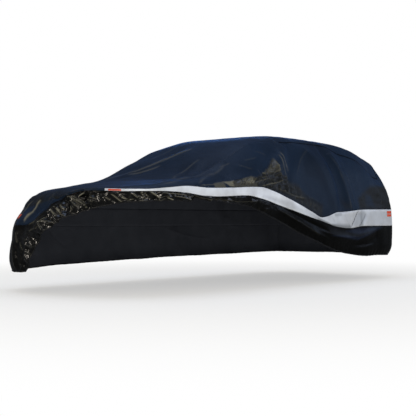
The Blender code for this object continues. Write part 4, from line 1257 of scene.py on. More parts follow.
@dataclass(frozen=True)
class CoatedPolyester:
    """Woven polyester with a thin coating: smooth, slightly glossy, and stiff enough to crinkle.

    The coating gives narrow highlights on every crease and hardly any shine in the flats; paler
    lines are painted on sharp crests as highlights. Threads are a quarter of a millimetre apart,
    too fine to show, so the weave is drawn six times coarser. Its colours are its own, a second
    tone it is mottled with at random, painted shade and reflection (a blue sheen on black cloth),
    and the painted highlight; glint and bloom are those of its shine and its sheen. The first of
    each pair of shines and roughnesses is that of crinkled cloth.
    """

    name: str
    colour: str
    mottled: str
    painted_highlight: str
    painted_shading: str
    glint: str
    shine: tuple[float, float]
    roughness: tuple[float, float]
    crinkle_mm: float
    crest_highlight_share: float
    sheen: float = 0.0
    bloom: str = "#ffffff"
    weave_mm: float = 1.5

    def material(self) -> Material:
        """Set the finish up as a material.

        Returns:
            The material.
        """
        material, shader = new_material(self.name, self.colour)
        tree = material.node_tree
        uv = add_node(tree, "ShaderNodeUVMap", uv_map="weave").outputs["UV"]
        place = add_node(tree, "ShaderNodeTexCoord").outputs["Object"]
        crinkled, crest, painted_shading, pale = (
            add_node(tree, "ShaderNodeAttribute", attribute_name=name).outputs["Fac"]
            for name in ("crinkled", "crest", "painted_shading", "pale"))
        warp, weft = (add_node(tree, "ShaderNodeTexWave",
                               {"Scale": band_scale(self.weave_mm), "Distortion": 0.4},
                               {"Vector": uv}, bands_direction=axis) for axis in "XY")
        weave = add_node(tree, "ShaderNodeMath", operation="MULTIPLY",
                         links={0: warp.outputs["Fac"], 1: weft.outputs["Fac"]})
        bends = add_node(tree, "ShaderNodeTexNoise",
                         {"Scale": 7.0, "Detail": 2.0, "Roughness": 0.5, "Lacunarity": 2.1,
                          "Distortion": 1.0}, {"Vector": place},
                         noise_type="RIDGED_MULTIFRACTAL")
        swell = add_node(tree, "ShaderNodeTexNoise", {"Scale": 5.0, "Detail": 4.0},
                         {"Vector": place})
        share = add_node(tree, "ShaderNodeMath", {1: 0.92, 2: 0.08}, {0: crinkled},
                         operation="MULTIPLY_ADD")
        height = add_node(tree, "ShaderNodeMath", operation="MULTIPLY",
                          links={0: bends.outputs["Fac"], 1: share.outputs["Value"]})
        first = add_node(tree, "ShaderNodeBump",
                         {"Strength": 1.0, "Distance": self.crinkle_mm / 1000},
                         {"Height": height.outputs["Value"]})
        second = add_node(tree, "ShaderNodeBump", {"Strength": 0.5, "Distance": 0.006},
                          {"Height": swell.outputs["Fac"], "Normal": first.outputs["Normal"]})
        last = add_node(tree, "ShaderNodeBump", {"Strength": 0.15, "Distance": 0.0004},
                        {"Height": weave.outputs["Value"], "Normal": second.outputs["Normal"]})
        cloud = add_node(tree, "ShaderNodeTexNoise", {"Scale": 1.7, "Detail": 5.0},
                         {"Vector": place})
        tone = add_node(tree, "ShaderNodeValToRGB", links={"Fac": cloud.outputs["Fac"]})
        for end, at, hue in zip(tone.color_ramp.elements, (0.35, 0.75), (self.colour, self.mottled)):
            end.position, end.color = at, linear(hue)
        # painted highlight: pale lines on sharp crests, broken up, and along the marked creases
        broken = add_node(tree, "ShaderNodeMapRange",
                          {"From Min": 0.45, "From Max": 0.75, "To Min": 0.15},
                          {"Value": swell.outputs["Fac"]})
        painted_highlight = add_node(tree, "ShaderNodeMath", operation="MULTIPLY",
                         links={0: crest, 1: broken.outputs["Result"]})
        faint = add_node(tree, "ShaderNodeMath", {1: self.crest_highlight_share},
                         {0: painted_highlight.outputs["Value"], 2: pale}, operation="MULTIPLY_ADD",
                         use_clamp=True)
        # painted shade and reflection where the patches lie: grey on navy, blue sheen on black
        painted_light = add_node(tree, "ShaderNodeMix", {MIX_B: linear(self.painted_shading)},
                          {0: painted_shading, MIX_A: tone.outputs["Color"]}, data_type="RGBA")
        final = add_node(tree, "ShaderNodeMix", {MIX_B: linear(self.painted_highlight)},
                         {0: faint.outputs["Value"], MIX_A: painted_light.outputs[MIXED]},
                         data_type="RGBA")
        tree.links.new(final.outputs[MIXED], shader.inputs["Base Color"])
        tree.links.new(last.outputs["Normal"], shader.inputs["Normal"])
        for socket, (creased, flat) in (("Roughness", self.roughness),
                                        ("Specular IOR Level", self.shine)):
            spread = add_node(tree, "ShaderNodeMapRange", {"To Min": flat, "To Max": creased},
                              {"Value": crinkled})
            tree.links.new(spread.outputs["Result"], shader.inputs[socket])
        shader.inputs["Specular Tint"].default_value = linear(self.glint)
        if self.sheen:
            # the sheen's strength is in its tint, and its weight only fades it out where shade is
            # painted
            dull = add_node(tree, "ShaderNodeMapRange", {"To Min": 1.0, "To Max": 0.0},
                            {"Value": painted_shading})
            tree.links.new(dull.outputs["Result"], shader.inputs["Sheen Weight"])
            shader.inputs["Sheen Roughness"].default_value = 0.35
            bloom = [self.sheen * part for part in linear(self.bloom)[:3]]
            shader.inputs["Sheen Tint"].default_value = (*bloom, 1.0)
        return material


@dataclass(frozen=True)
class ReflectiveTape:
    """Silver reflective tape on a woven ground: glass beads give it a pale satin face.

    The ground's ribs are half a millimetre apart, drawn ten times coarser so that they show.
    """

    name: str = "silver_reflective_tape"
    colour: str = "#eef2f6"
    shaded: str = "#ced0d2"
    painted_shading: str = "#8f9396"
    painted_shadow: str = "#303136"
    rib_mm: float = 5.0

    def material(self) -> Material:
        """Set the finish up as a material.

        Returns:
            The material.
        """
        material, shader = new_material(self.name, self.colour)
        tree = material.node_tree
        uv = add_node(tree, "ShaderNodeUVMap", uv_map="weave").outputs["UV"]
        place = add_node(tree, "ShaderNodeTexCoord").outputs["Object"]
        ribs = add_node(tree, "ShaderNodeTexWave",
                        {"Scale": band_scale(self.rib_mm), "Distortion": 0.8, "Detail": 2.0},
                        {"Vector": uv}, bands_direction="X")
        cloud = add_node(tree, "ShaderNodeTexNoise", {"Scale": 5.0, "Detail": 6.0},
                         {"Vector": place})
        tone = add_node(tree, "ShaderNodeValToRGB", links={"Fac": cloud.outputs["Fac"]})
        for end, at, hue in zip(tone.color_ramp.elements, (0.30, 0.62),
                                (self.shaded, self.colour)):
            end.position, end.color = at, linear(hue)
        wrinkles = add_node(tree, "ShaderNodeBump", {"Strength": 0.35, "Distance": 0.006},
                            {"Height": cloud.outputs["Fac"]})
        bump = add_node(tree, "ShaderNodeBump", {"Strength": 0.25, "Distance": 0.0006},
                        {"Height": ribs.outputs["Fac"], "Normal": wrinkles.outputs["Normal"]})
        painted_shading, pale = (add_node(tree, "ShaderNodeAttribute", attribute_name=name).outputs["Fac"]
                       for name in ("painted_shading", "pale"))
        # painted shade: darker grey where the patches lie, by the creases, low down and at the rear
        mottled = add_node(tree, "ShaderNodeMix", {MIX_B: linear(self.painted_shading)},
                        {0: painted_shading, MIX_A: tone.outputs["Color"]}, data_type="RGBA")
        # painted shadow: dark grey in the creases and on the far end, which lies in shadow
        final = add_node(tree, "ShaderNodeMix", {MIX_B: linear(self.painted_shadow)},
                         {0: pale, MIX_A: mottled.outputs[MIXED]}, data_type="RGBA")
        tree.links.new(final.outputs[MIXED], shader.inputs["Base Color"])
        tree.links.new(bump.outputs["Normal"], shader.inputs["Normal"])
        shader.inputs["Roughness"].default_value = 0.5
        shader.inputs["Metallic"].default_value = 0.15
        shader.inputs["Specular IOR Level"].default_value = 0.4
        return material


@dataclass(frozen=True)
class ReflectorPlastic:
    """Moulded acrylic with small prisms behind a smooth clear face."""

    name: str = "orange_reflector_plastic"
    colour: str = "#dc4420"
    bright: str = "#e85c30"
    deep: str = "#c23414"
    prism_mm: float = 4.0

    def material(self) -> Material:
        """Set the finish up as a material.

        Returns:
            The material.
        """
        material, shader = new_material(self.name, self.colour)
        tree = material.node_tree
        place = add_node(tree, "ShaderNodeTexCoord").outputs["Object"]
        prisms = add_node(tree, "ShaderNodeTexVoronoi", {"Scale": 1000 / self.prism_mm,
                                                         "Randomness": 0.0}, {"Vector": place})
        tone = add_node(tree, "ShaderNodeValToRGB", links={"Fac": prisms.outputs["Distance"]})
        for end, hue in zip(tone.color_ramp.elements, (self.bright, self.deep)):
            end.color = linear(hue)
        bump = add_node(tree, "ShaderNodeBump", {"Strength": 0.2, "Distance": 0.0005},
                        {"Height": prisms.outputs["Distance"]})
        tree.links.new(tone.outputs["Color"], shader.inputs["Base Color"])
        tree.links.new(bump.outputs["Normal"], shader.inputs["Normal"])
        shader.inputs["Roughness"].default_value = 0.3
        shader.inputs["IOR"].default_value = 1.49
        shader.inputs["Coat Weight"].default_value = 0.6
        shader.inputs["Coat Roughness"].default_value = 0.08
        return material


@dataclass(frozen=True)
class StitchedCloth:
    """The coated cloth where it is folded and stitched down with a row of thread.

    Stitches are 3 mm long in truth and drawn five times as long so that they show.
    """

    name: str
    colour: str
    thread: str
    shine: float
    half_pitch: float = 0.012    # half of the way from one stitch to the next
    gap_share: float = 0.4       # share of that way that the gap takes
    row_at: float = 0.0035       # from the strip's edge to the row's middle
    row_half: float = 0.0011     # half of the row's width

    def material(self) -> Material:
        """Set the finish up as a material.

        Returns:
            The material.
        """
        material, shader = new_material(self.name, self.colour)
        tree = material.node_tree
        uv = add_node(tree, "ShaderNodeUVMap", uv_map="weave").outputs["UV"]
        parts = add_node(tree, "ShaderNodeSeparateXYZ", links={"Vector": uv})
        dash = add_node(tree, "ShaderNodeMath", {1: self.half_pitch},
                        {0: parts.outputs["X"]}, operation="PINGPONG")
        on = add_node(tree, "ShaderNodeMath", {1: self.half_pitch * self.gap_share},
                      {0: dash.outputs["Value"]}, operation="GREATER_THAN")
        row = add_node(tree, "ShaderNodeMath", {1: self.row_at, 2: self.row_half},
                       {0: parts.outputs["Y"]}, operation="COMPARE")
        stitch = add_node(tree, "ShaderNodeMath", operation="MULTIPLY",
                          links={0: on.outputs["Value"], 1: row.outputs["Value"]})
        tone = add_node(tree, "ShaderNodeMix",
                        {MIX_A: linear(self.colour), MIX_B: linear(self.thread)},
                        {0: stitch.outputs["Value"]}, data_type="RGBA")
        bump = add_node(tree, "ShaderNodeBump", {"Strength": 0.5, "Distance": 0.0006},
                        {"Height": stitch.outputs["Value"]})
        tree.links.new(tone.outputs[MIXED], shader.inputs["Base Color"])
        tree.links.new(bump.outputs["Normal"], shader.inputs["Normal"])
        shader.inputs["Roughness"].default_value = 0.5
        shader.inputs["Specular IOR Level"].default_value = self.shine
        return material


@dataclass(frozen=True)
class UncoatedBack:
    """Inner side of the cloth: bare dull threads, which give no shine at all."""

    name: str = "uncoated_polyester_back"
    colour: str = "#2c2e33"
    mottled: str = "#393b40"

    def material(self) -> Material:
        """Set the finish up as a material.

        Returns:
            The material.
        """
        material, shader = new_material(self.name, self.colour)
        tree = material.node_tree
        place = add_node(tree, "ShaderNodeTexCoord").outputs["Object"]
        cloud = add_node(tree, "ShaderNodeTexNoise", {"Scale": 6.0, "Detail": 6.0},
                         {"Vector": place})
        tone = add_node(tree, "ShaderNodeValToRGB", links={"Fac": cloud.outputs["Fac"]})
        for end, hue in zip(tone.color_ramp.elements, (self.colour, self.mottled)):
            end.color = linear(hue)
        tree.links.new(tone.outputs["Color"], shader.inputs["Base Color"])
        bump = add_node(tree, "ShaderNodeBump", {"Strength": 0.3, "Distance": 0.004},
                        {"Height": cloud.outputs["Fac"]})
        tree.links.new(bump.outputs["Normal"], shader.inputs["Normal"])
        shader.inputs["Roughness"].default_value = 0.95
        shader.inputs["Specular IOR Level"].default_value = 0.05
        return material


# Each cloth's colour for painted shade (a blue sheen on the black) and for painted highlights.
NAVY = CoatedPolyester("navy_coated_polyester", colour="#121c28", mottled="#182739",
                       painted_highlight="#78735f", painted_shading="#1e1f1e", glint="#b9c4dc", shine=(0.18, 0.14),
                       roughness=(0.28, 0.46), crinkle_mm=9.0, crest_highlight_share=0.30, sheen=0.11,
                       bloom="#3a76c4")
BLACK = CoatedPolyester("black_coated_polyester", colour="#070706", mottled="#0c0c0b",
                        painted_highlight="#8d8873", painted_shading="#1a2233", glint="#efece6", shine=(0.60, 0.10),
                        roughness=(0.20, 0.34), crinkle_mm=14.0, crest_highlight_share=0.08)
BACK = UncoatedBack()
SILVER = ReflectiveTape()
ORANGE = ReflectorPlastic()
NAVY_SEAM = StitchedCloth("navy_stitched_seam", "#070a10", "#151c28", 0.05)
BLACK_HEM = StitchedCloth("black_stitched_hem", "#0d0d0d", "#2a2927", 0.4)


def mesh_object(name: str, verts: np.ndarray, faces: Iterable[Sequence[int]],
                corner_uv: np.ndarray, material: Material) -> Object:
    """Make a smooth-shaded object with its weave coordinates.

    Args:
        name: Object's name.
        verts: Points in the frame.
        faces: Faces, wound to look outward.
        corner_uv: Weave coordinates in metres, one for each face corner in order.
        material: Its material.

    Returns:
        The object, in the scene.
    """
    mesh = bpy.data.meshes.new(name)
    mesh.from_pydata(verts.tolist(), [], [tuple(face) for face in faces])
    mesh.uv_layers.new(name="weave").data.foreach_set("uv", np.asarray(corner_uv).ravel())
    mesh.polygons.foreach_set("use_smooth", np.ones(len(mesh.polygons), dtype=bool))
    mesh.materials.append(material)
    made = bpy.data.objects.new(name, mesh)
    bpy.context.scene.collection.objects.link(made)
    return made


def run_lengths(points: np.ndarray) -> np.ndarray:
    """Distance run along a line of points, from 0."""
    steps = np.linalg.norm(np.diff(points, axis=0), axis=-1)
    return np.concatenate([[0.0], np.cumsum(steps)])


@dataclass
class SewnPiece:
    """One cut piece of the cover: patches of the cloth, given their thickness.

    Args:
        node: Name of the solid that it stands for.
        finish: What it is made of.
        zone: Part of the cloth that it is cut from.
        flat: Width and length that the piece was cut to, in metres; not used.
        area: Flat area of the cut, in square metres; not used.
        outset: How far it lies on top of its neighbours.
        filled: Share of the outset that its thickness fills.
    """

    node: str
    finish: CoatedPolyester | ReflectiveTape
    zone: Zone
    flat: tuple[float, float]
    area: float
    outset: float = 0.0
    filled: float = 0.9

    def build(self, cloth: Cloth, grids: Sequence[np.ndarray], material: Material,
              back: Material) -> Object:
        """Cut the piece out of the cloth.

        Args:
            cloth: The draped cloth.
            grids: Grids of its point numbers, each going on where the one before ends.
            material: Material of its outer side and its edge.
            back: Material of its inner side.

        Returns:
            The piece.
        """
        faces, uv, start = [], [], 0.0
        for grid in grids:
            middle = grid[:, grid.shape[1] // 2]
            u = run_lengths(cloth.points[grid[grid.shape[0] // 2]])
            v = start + run_lengths(cloth.points[middle])
            start = v[-1]
            at = np.stack(np.meshgrid(u, v), axis=-1)
            faces.append(grid_faces(grid))
            uv.append(np.stack([at[:-1, :-1], at[:-1, 1:], at[1:, 1:], at[1:, :-1]],
                               axis=2).reshape(-1, 4, 2))
        faces, uv = np.concatenate(faces), np.concatenate(uv)
        used, compact = np.unique(faces, return_inverse=True)
        compact = compact.reshape(faces.shape)
        count = len(used)
        outer = cloth.points[used] + cloth.normals[used] * self.outset
        inner = outer - cloth.normals[used] * (CLOTH + self.outset * self.filled)
        rim, rim_uv = self.rim_faces(compact, uv, count)
        every = np.concatenate([compact, compact[:, ::-1] + count, rim])
        every_uv = np.concatenate([uv, uv[:, ::-1], rim_uv])
        piece = mesh_object("cloth_" + self.node, np.concatenate([outer, inner]), every,
                            every_uv, material)
        piece.data.materials.append(back)
        side = np.zeros(len(every), dtype=np.int32)
        side[len(compact):2 * len(compact)] = 1
        piece.data.polygons.foreach_set("material_index", side)
        for name, values in cloth.marks(self.zone).items():
            layer = piece.data.attributes.new(name, "FLOAT", "POINT")
            layer.data.foreach_set("value", np.tile(values[used], 2))
        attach(piece, "root")
        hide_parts(self.node)
        return piece

    @staticmethod
    def rim_faces(faces: np.ndarray, uv: np.ndarray, count: int) -> tuple:
        """Faces that close the edge between the outer and the inner skin.

        Args:
            faces: Faces of the outer skin.
            uv: Weave coordinates of their corners.
            count: Points in one skin.

        Returns:
            The faces and their weave coordinates.
        """
        start, end = faces, np.roll(faces, -1, axis=1)
        key = (start.astype(np.int64) * count + end).ravel()
        back = (end.astype(np.int64) * count + start).ravel()
        alone = ~np.isin(key, back)
        a, b = start.ravel()[alone], end.ravel()[alone]
        uv_a = uv.reshape(-1, 2)[alone]
        uv_b = np.roll(uv, -1, axis=1).reshape(-1, 2)[alone]
        return (np.stack([b, a, a + count, b + count], axis=-1),
                np.stack([uv_b, uv_a, uv_a, uv_b], axis=1))


# Cross-section of a folded strip: place across it in half-widths, and share of its height; the
# places below zero are on its back.
STRIP_PROFILE = ((-1.0, 0.0), (-0.8, 0.8), (-0.3, 1.0), (0.3, 1.0),
                 (0.8, 0.8), (1.0, 0.0), (0.5, -1.0), (-0.5, -1.0))


@dataclass
class Binding:
    """A narrow folded strip of cloth that runs along a line of the cloth's points.

    Args:
        name: Piece's name.
        width: Across the strip.
        height: How far it stands out in the middle.
        under: How far its back lies under the cloth's face.
        drop: How far its middle lies below the line, along the cloth.
    """

    name: str
    width: float
    height: float
    under: float = 0.0006
    drop: float = 0.0

    def build(self, cloth: Cloth, line: np.ndarray, material: Material) -> Object:
        """Run the strip along the line.

        Args:
            cloth: The draped cloth.
            line: Point numbers in order.
            material: The strip's material.

        Returns:
            The strip.
        """
        points, out = cloth.points[line], cloth.normals[line]
        across = unit(np.cross(out, unit(np.gradient(points, axis=0))))
        half = self.width / 2
        rows = []
        for place, share in STRIP_PROFILE:
            rise = self.height * share if share >= 0 else -self.under
            rows.append(points + across * (place * half - self.drop) + out * rise)
        deep, long = len(rows), len(line)
        run = run_lengths(points)
        faces, uv = [], []
        for j in range(deep):
            k = (j + 1) % deep
            low, high = (STRIP_PROFILE[row][0] * half + half for row in (j, k))
            for i in range(long - 1):
                faces.append((j * long + i, j * long + i + 1, k * long + i + 1, k * long + i))
                uv.append([(run[i], low), (run[i + 1], low), (run[i + 1], high), (run[i], high)])
        for i, order in ((0, 1), (long - 1, -1)):
            faces.append(tuple(j * long + i for j in range(deep))[::order])
            uv.append([(run[i], 0.0)] * deep)
        flat_uv = np.array([corner for face in uv for corner in face])
        piece = mesh_object(self.name, np.concatenate(rows), faces, flat_uv, material)
        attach(piece, "root")
        return piece


@dataclass
class Reflector:
    """A flat plastic bar with rounded edges, sewn on the stripe and bent along it.

    Args:
        node: Name of the solid that it stands for.
        start: Place on the ring of the solids' columns, counted round from the nose's seam.
        end: Place on the ring where it ends.
        low: Share of the stripe's height at its lower edge.
        high: Share at its upper edge.
        thick: Its thickness.
        seat: How deep its back lies in the stripe.
        rounding: Width of its rounded edges, as a share of its thickness.
    """

    node: str
    start: float
    end: float
    low: float
    high: float
    thick: float = 0.0022
    seat: float = 0.0004
    rounding: float = 0.35

    def build(self, cloth: Cloth, outset: float, material: Material) -> Object:
        """Shape the bar and lay it on the stripe.

        Args:
            cloth: The draped cloth.
            outset: How far the stripe lies on top of the cloth.
            material: The bar's material.

        Returns:
            The bar.
        """
        bpy.ops.object.select_all(action="DESELECT")
        bpy.ops.mesh.primitive_grid_add(x_subdivisions=16, y_subdivisions=4, size=1.0,
                                        location=(0, 0, 0))
        bar = bpy.context.object
        bar.name = bar.data.name = "bar_" + self.node
        bpy.ops.object.mode_set(mode="EDIT")
        bpy.ops.mesh.select_all(action="SELECT")
        bpy.ops.mesh.extrude_region_move(TRANSFORM_OT_translate={"value": (0, 0, 1.0)})
        bpy.ops.mesh.select_all(action="SELECT")
        bpy.ops.mesh.normals_make_consistent(inside=False)
        bpy.ops.object.mode_set(mode="OBJECT")
        self.lay_on(bar, cloth, outset)
        bevel = bar.modifiers.new("round", "BEVEL")
        bevel.width, bevel.segments = self.thick * self.rounding, 2
        bevel.limit_method = "ANGLE"
        bpy.ops.object.modifier_apply(modifier="round")
        bpy.ops.object.shade_smooth()
        bar.data.materials.append(material)
        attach(bar, "root")
        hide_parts(self.node)
        return bar

    def lay_on(self, bar: Object, cloth: Cloth, outset: float) -> None:
        """Move the bar's points from its unit box to the stripe's face.

        Args:
            bar: The bar as a unit box.
            cloth: The draped cloth.
            outset: How far the stripe lies on top of the cloth.
        """
        first = math.floor(self.start * FINENESS)
        columns = cloth.round_ring(first, math.ceil(self.end * FINENESS) - first)
        rows = range(SKIRT_ROWS, SKIRT_ROWS + STRIPE_ROWS + 1)
        grid = cloth.ring[np.ix_(rows, columns)]
        points, normals = cloth.points[grid], cloth.normals[grid]
        for vert in bar.data.vertices:
            across = (self.start + (self.end - self.start) * (vert.co.x + 0.5)) * FINENESS - first
            up = (self.low + (self.high - self.low) * (vert.co.y + 0.5)) * STRIPE_ROWS
            i, j = min(int(across), len(columns) - 2), min(int(up), STRIPE_ROWS - 1)
            s, t = across - i, up - j
            share = ((j, i, (1 - s) * (1 - t)), (j, i + 1, s * (1 - t)),
                     (j + 1, i + 1, s * t), (j + 1, i, (1 - s) * t))
            point = sum(points[r, c] * part for r, c, part in share)
            out = unit(sum(normals[r, c] * part for r, c, part in share))
            vert.co = Vector(point + out * (outset - self.seat + vert.co.z * self.thick))
        bar.data.update()


@dataclass(frozen=True)
class SoftBox:
    """One lamp: where it hangs and aims, its width and height, its power and its colour.

    One for glints only makes highlights and lights nothing else.
    """

    name: str
    place: tuple[float, float, float]
    aim: tuple[float, float, float]
    size: tuple[float, float]
    watts: float
    colour: str
    glints_only: bool = False

    def hang(self) -> None:
        """Hang the lamp in the scene."""
        data = bpy.data.lights.new(self.name, "AREA")
        data.shape, data.size, data.size_y = "RECTANGLE", *self.size
        data.energy, data.color = self.watts, linear(self.colour)[:3]
        lamp = bpy.data.objects.new(self.name, data)
        lamp.location, lamp.visible_diffuse = self.place, not self.glints_only
        lamp.visible_camera = False
        turn = Vector(self.aim) - Vector(self.place)
        lamp.rotation_euler = turn.to_track_quat("-Z", "Y").to_euler()
        bpy.context.scene.collection.objects.link(lamp)


# Soft light from above, from the front and low from the side; the strips and the blue box behind
# put narrow glints on the creases and along the back's upper edge.
SOFT_BOXES = (
    SoftBox("overhead_box", (0.0, -0.5, 5.0), (0, -0.3, 0), (5, 6), 190, "#b4c8f0"),
    SoftBox("back_box", (-5.6, 7.0, 1.9), (0, 0.3, 0), (4.4, 2.0), 110, "#4a84e0", True),
    SoftBox("quarter_box", (4.5, 8.5, 2.2), (0.8, 1.0, -0.3), (4, 2.5), 40, "#bcd2f6", True),
    SoftBox("front_box", (3.5, -8.5, 4.5), (0.2, -1.6, -0.6), (4, 2.5), 50, "#fffaf3"),
    SoftBox("side_box", (8.0, 4.0, 2.4), (0.9, 1.0, -0.4), (5, 3), 95, "#dfe6fb"),
    SoftBox("key_strip", (6.5, -5.5, 1.6), (0.4, -1.4, -0.6), (1.6, 0.4), 130, "#fff7ee", True),
    SoftBox("nose_strip", (-3.0, -7.5, 0.9), (0.0, -2.0, -0.8), (1.2, 0.4), 75, "#fff7ee", True),
    SoftBox("rear_strip", (7.0, 6.5, 0.6), (0.9, 0.9, -0.6), (2.0, 0.35), 20, "#c9d8ff"),
)


@dataclass
class Studio:
    """Pale floor, soft lights and the camera at the photograph's angle."""

    eye: tuple[float, float, float] = (5.9757, -6.8930, -0.8204)
    looks: tuple[float, float, float] = (-0.66390, 0.74769, 0.01403)
    lens_mm: float = 78.44
    sensor_mm: float = 36.0
    sees_to: float = 400.0
    floor_size: float = 120.0
    floor_fade: tuple[float, float] = (2.0, 6.0)    # where the floor starts and ends to whiten
    floor_glow: float = 0.50                        # how far it is white in the middle
    air: float = 0.10                               # light of the air in reflections
    diffuse_air: float = 0.6                        # light of the air on the surfaces

    def floor(self) -> None:
        """Lay the floor, which turns into even white further out."""
        bpy.ops.object.select_all(action="DESELECT")
        bpy.ops.mesh.primitive_plane_add(size=self.floor_size, location=(0, 0, GROUND))
        floor = bpy.context.object
        floor.name = "studio_floor"
        material, shader = new_material("studio_floor_paint", "#f7f2e6")
        shader.inputs["Roughness"].default_value = 0.9
        shader.inputs["Specular IOR Level"].default_value = 0.05
        tree = material.node_tree
        place = add_node(tree, "ShaderNodeTexCoord").outputs["Object"]
        away = add_node(tree, "ShaderNodeVectorMath", operation="LENGTH", links={0: place})
        fade = add_node(tree, "ShaderNodeMapRange",
                        {"From Min": self.floor_fade[0], "From Max": self.floor_fade[1],
                         "To Min": self.floor_glow}, {"Value": away.outputs["Value"]},
                        interpolation_type="SMOOTHSTEP")
        glow = add_node(tree, "ShaderNodeEmission", {"Strength": 1.0})
        both = add_node(tree, "ShaderNodeMixShader",
                        links={0: fade.outputs["Result"], 1: shader.outputs["BSDF"],
                               2: glow.outputs["Emission"]})
        tree.links.new(both.outputs["Shader"], tree.nodes["Material Output"].inputs["Surface"])
        floor.data.materials.append(material)
        floor.visible_glossy = False

    def lights(self) -> None:
        """Hang the soft boxes, and fill the air with an even light that looks white."""
        for box in SOFT_BOXES:
            box.hang()
        world = bpy.data.worlds.new("studio_air")
        bpy.context.scene.world = world
        world.use_nodes = True
        tree = world.node_tree
        air = tree.nodes["Background"]
        air.inputs["Color"].default_value = linear("#dfe6f2")
        air.inputs["Strength"].default_value = self.air
        path = add_node(tree, "ShaderNodeLightPath")
        power = add_node(tree, "ShaderNodeMix", data_type="FLOAT",
                         values={2: self.diffuse_air, 3: 1.0},
                         links={0: path.outputs["Is Camera Ray"]})
        seen = add_node(tree, "ShaderNodeBackground", {"Color": linear("#ffffff")},
                        {"Strength": power.outputs[0]})
        both = add_node(tree, "ShaderNodeMixShader",
                        links={0: path.outputs["Is Glossy Ray"], 1: seen.outputs["Background"],
                               2: air.outputs["Background"]})
        tree.links.new(both.outputs["Shader"], tree.nodes["World Output"].inputs["Surface"])
        bpy.context.scene.view_settings.view_transform = "Standard"

    def camera(self) -> None:
        """Set the camera up."""
        data = bpy.data.cameras.new("camera")
        data.lens, data.sensor_width = self.lens_mm, self.sensor_mm
        data.clip_end = self.sees_to
        camera = bpy.data.objects.new("camera", data)
        camera.location = self.eye
        camera.rotation_euler = Vector(self.looks).to_track_quat("-Z", "Y").to_euler()
        bpy.context.scene.collection.objects.link(camera)
        bpy.context.scene.camera = camera


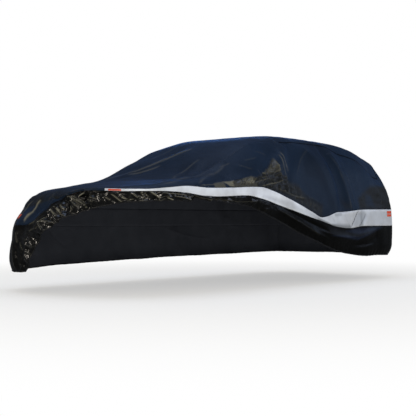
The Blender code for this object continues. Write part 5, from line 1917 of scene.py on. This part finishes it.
@dataclass
class Cover:
    """The whole cover: its sewn pieces, bindings and reflectors."""

    stripe_outset: float = 0.0010    # how far the stripe lies on top of the cloth
    seam_start: float = 2.45         # running position at which the stitched seam starts

    def sewn_pieces(self) -> tuple[SewnPiece, ...]:
        """The cut pieces with their flat sizes."""
        return (
            SewnPiece("top_panel", NAVY, Zone.PANEL, (1.50, 5.00), 6.0),
            SewnPiece("side_panel_near", NAVY, Zone.PANEL, (0.80, 5.60), 2.5),
            SewnPiece("side_panel_far", NAVY, Zone.PANEL, (0.80, 5.60), 2.5),
            SewnPiece("stripe_near", SILVER, Zone.STRIPE, (0.20, 5.60), 0.6, self.stripe_outset),
            SewnPiece("stripe_far", SILVER, Zone.STRIPE, (0.20, 5.60), 0.9, self.stripe_outset),
            SewnPiece("skirt_near", BLACK, Zone.SKIRT, (0.40, 4.50), 0.8),
            SewnPiece("skirt_rear", BLACK, Zone.SKIRT, (0.40, 1.80), 0.6),
            SewnPiece("skirt_far", BLACK, Zone.SKIRT, (0.40, 4.50), 1.6),
            SewnPiece("skirt_front", BLACK, Zone.SKIRT, (0.45, 1.30), 0.4),
        )

    def reflectors(self) -> tuple[Reflector, ...]:
        """The bars on the stripe."""
        return (
            Reflector("reflector_front_near", 0.35, 1.60, 0.10, 0.90),
            Reflector("reflector_rear_near_1", 42.70, 44.20, 0.74, 0.90),
            Reflector("reflector_rear_near_2", 42.70, 44.20, 0.56, 0.71),
            Reflector("reflector_rear_far_1", 59.80, 61.30, 0.74, 0.90),
            Reflector("reflector_rear_far_2", 59.80, 61.30, 0.56, 0.71),
            Reflector("reflector_front_far", 102.20, 103.70, 0.38, 0.62),
        )

    def grids(self, cloth: Cloth) -> dict[str, list[np.ndarray]]:
        """Which part of the cloth each sewn piece is cut from.

        Args:
            cloth: The draped cloth.

        Returns:
            Grids of point numbers by the solid's name.
        """
        ring, side = cloth.ring, cloth.side - 1
        half, across = TOP_COLUMNS // 2, TOP_COLUMNS
        stripe, wall = SKIRT_ROWS, SKIRT_ROWS + STRIPE_ROWS
        near = cloth.round_ring(0, side + half)
        far = cloth.round_ring(side + half, side + half)
        nose = cloth.round_ring(2 * (side + half), across)
        found = {name: [ring[:stripe + 1][:, columns]]
                 for name, columns in self.skirt_columns(cloth).items()}
        found["top_panel"] = [ring[stripe:][:, nose], cloth.top]
        for name, columns in (("near", near), ("far", far)):
            found["side_panel_" + name] = [ring[wall:][:, columns]]
            found["stripe_" + name] = [ring[stripe:wall + 1][:, columns]]
        return found

    def bindings(self, cloth: Cloth, seam: Material, hem: Material) -> dict[str, Object]:
        """Stitched seams of the top, and the hem all round.

        Args:
            cloth: The draped cloth.
            seam: Material of the seams.
            hem: Material of the hem.

        Returns:
            The strips by the name of the solid that each is sewn on.
        """
        side, across = cloth.side - 1, TOP_COLUMNS
        first = int(np.searchsorted(cloth.places, self.seam_start))
        line = cloth.ring[-1][cloth.round_ring(first, 2 * (side - first) + across)]
        made = {"top_panel": Binding("seam_round_top", width=0.014, height=0.0016).build(
            cloth, line, seam)}
        for name, columns in self.skirt_columns(cloth).items():
            strip = Binding("hem_" + name, width=0.012, height=0.0020, under=0.0024, drop=-0.004)
            made[name] = strip.build(cloth, cloth.ring[0, columns], hem)
        return made

    @staticmethod
    def skirt_columns(cloth: Cloth) -> dict[str, list[int]]:
        """Columns of the ring that each skirt takes up.

        Args:
            cloth: The draped cloth.

        Returns:
            Column numbers by the skirt's name.
        """
        side, across = cloth.side - 1, TOP_COLUMNS
        return {"skirt_near": cloth.round_ring(0, side),
                "skirt_rear": cloth.round_ring(side, across),
                "skirt_far": cloth.round_ring(side + across, side),
                "skirt_front": cloth.round_ring(2 * side + across, across)}

    def build(self) -> None:
        """Make every piece."""
        cloth = Cloth()
        log.info("cloth: %d points", len(cloth.points))
        finish = {each: each.material() for each in (NAVY, BLACK, BACK, SILVER,
                                                     ORANGE, NAVY_SEAM, BLACK_HEM)}
        strips = self.bindings(cloth, finish[NAVY_SEAM], finish[BLACK_HEM])
        grids = self.grids(cloth)
        for piece in self.sewn_pieces():
            made = piece.build(cloth, grids[piece.node], finish[piece.finish], finish[BACK])
            log.info("%s: %d faces", made.name, len(made.data.polygons))
        for name, strip in strips.items():
            log.info("%s: %d faces", strip.name, len(strip.data.polygons))
        for reflector in self.reflectors():
            bar = reflector.build(cloth, self.stripe_outset, finish[ORANGE])
            log.info("%s: %d faces", bar.name, len(bar.data.polygons))


def main() -> None:
    """Build the cover and its studio."""
    logging.basicConfig(level=logging.INFO, format="%(message)s")
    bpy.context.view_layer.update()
    studio = Studio()
    studio.camera()
    Cover().build()
    studio.floor()
    studio.lights()


if __name__ == "__main__":
    main()
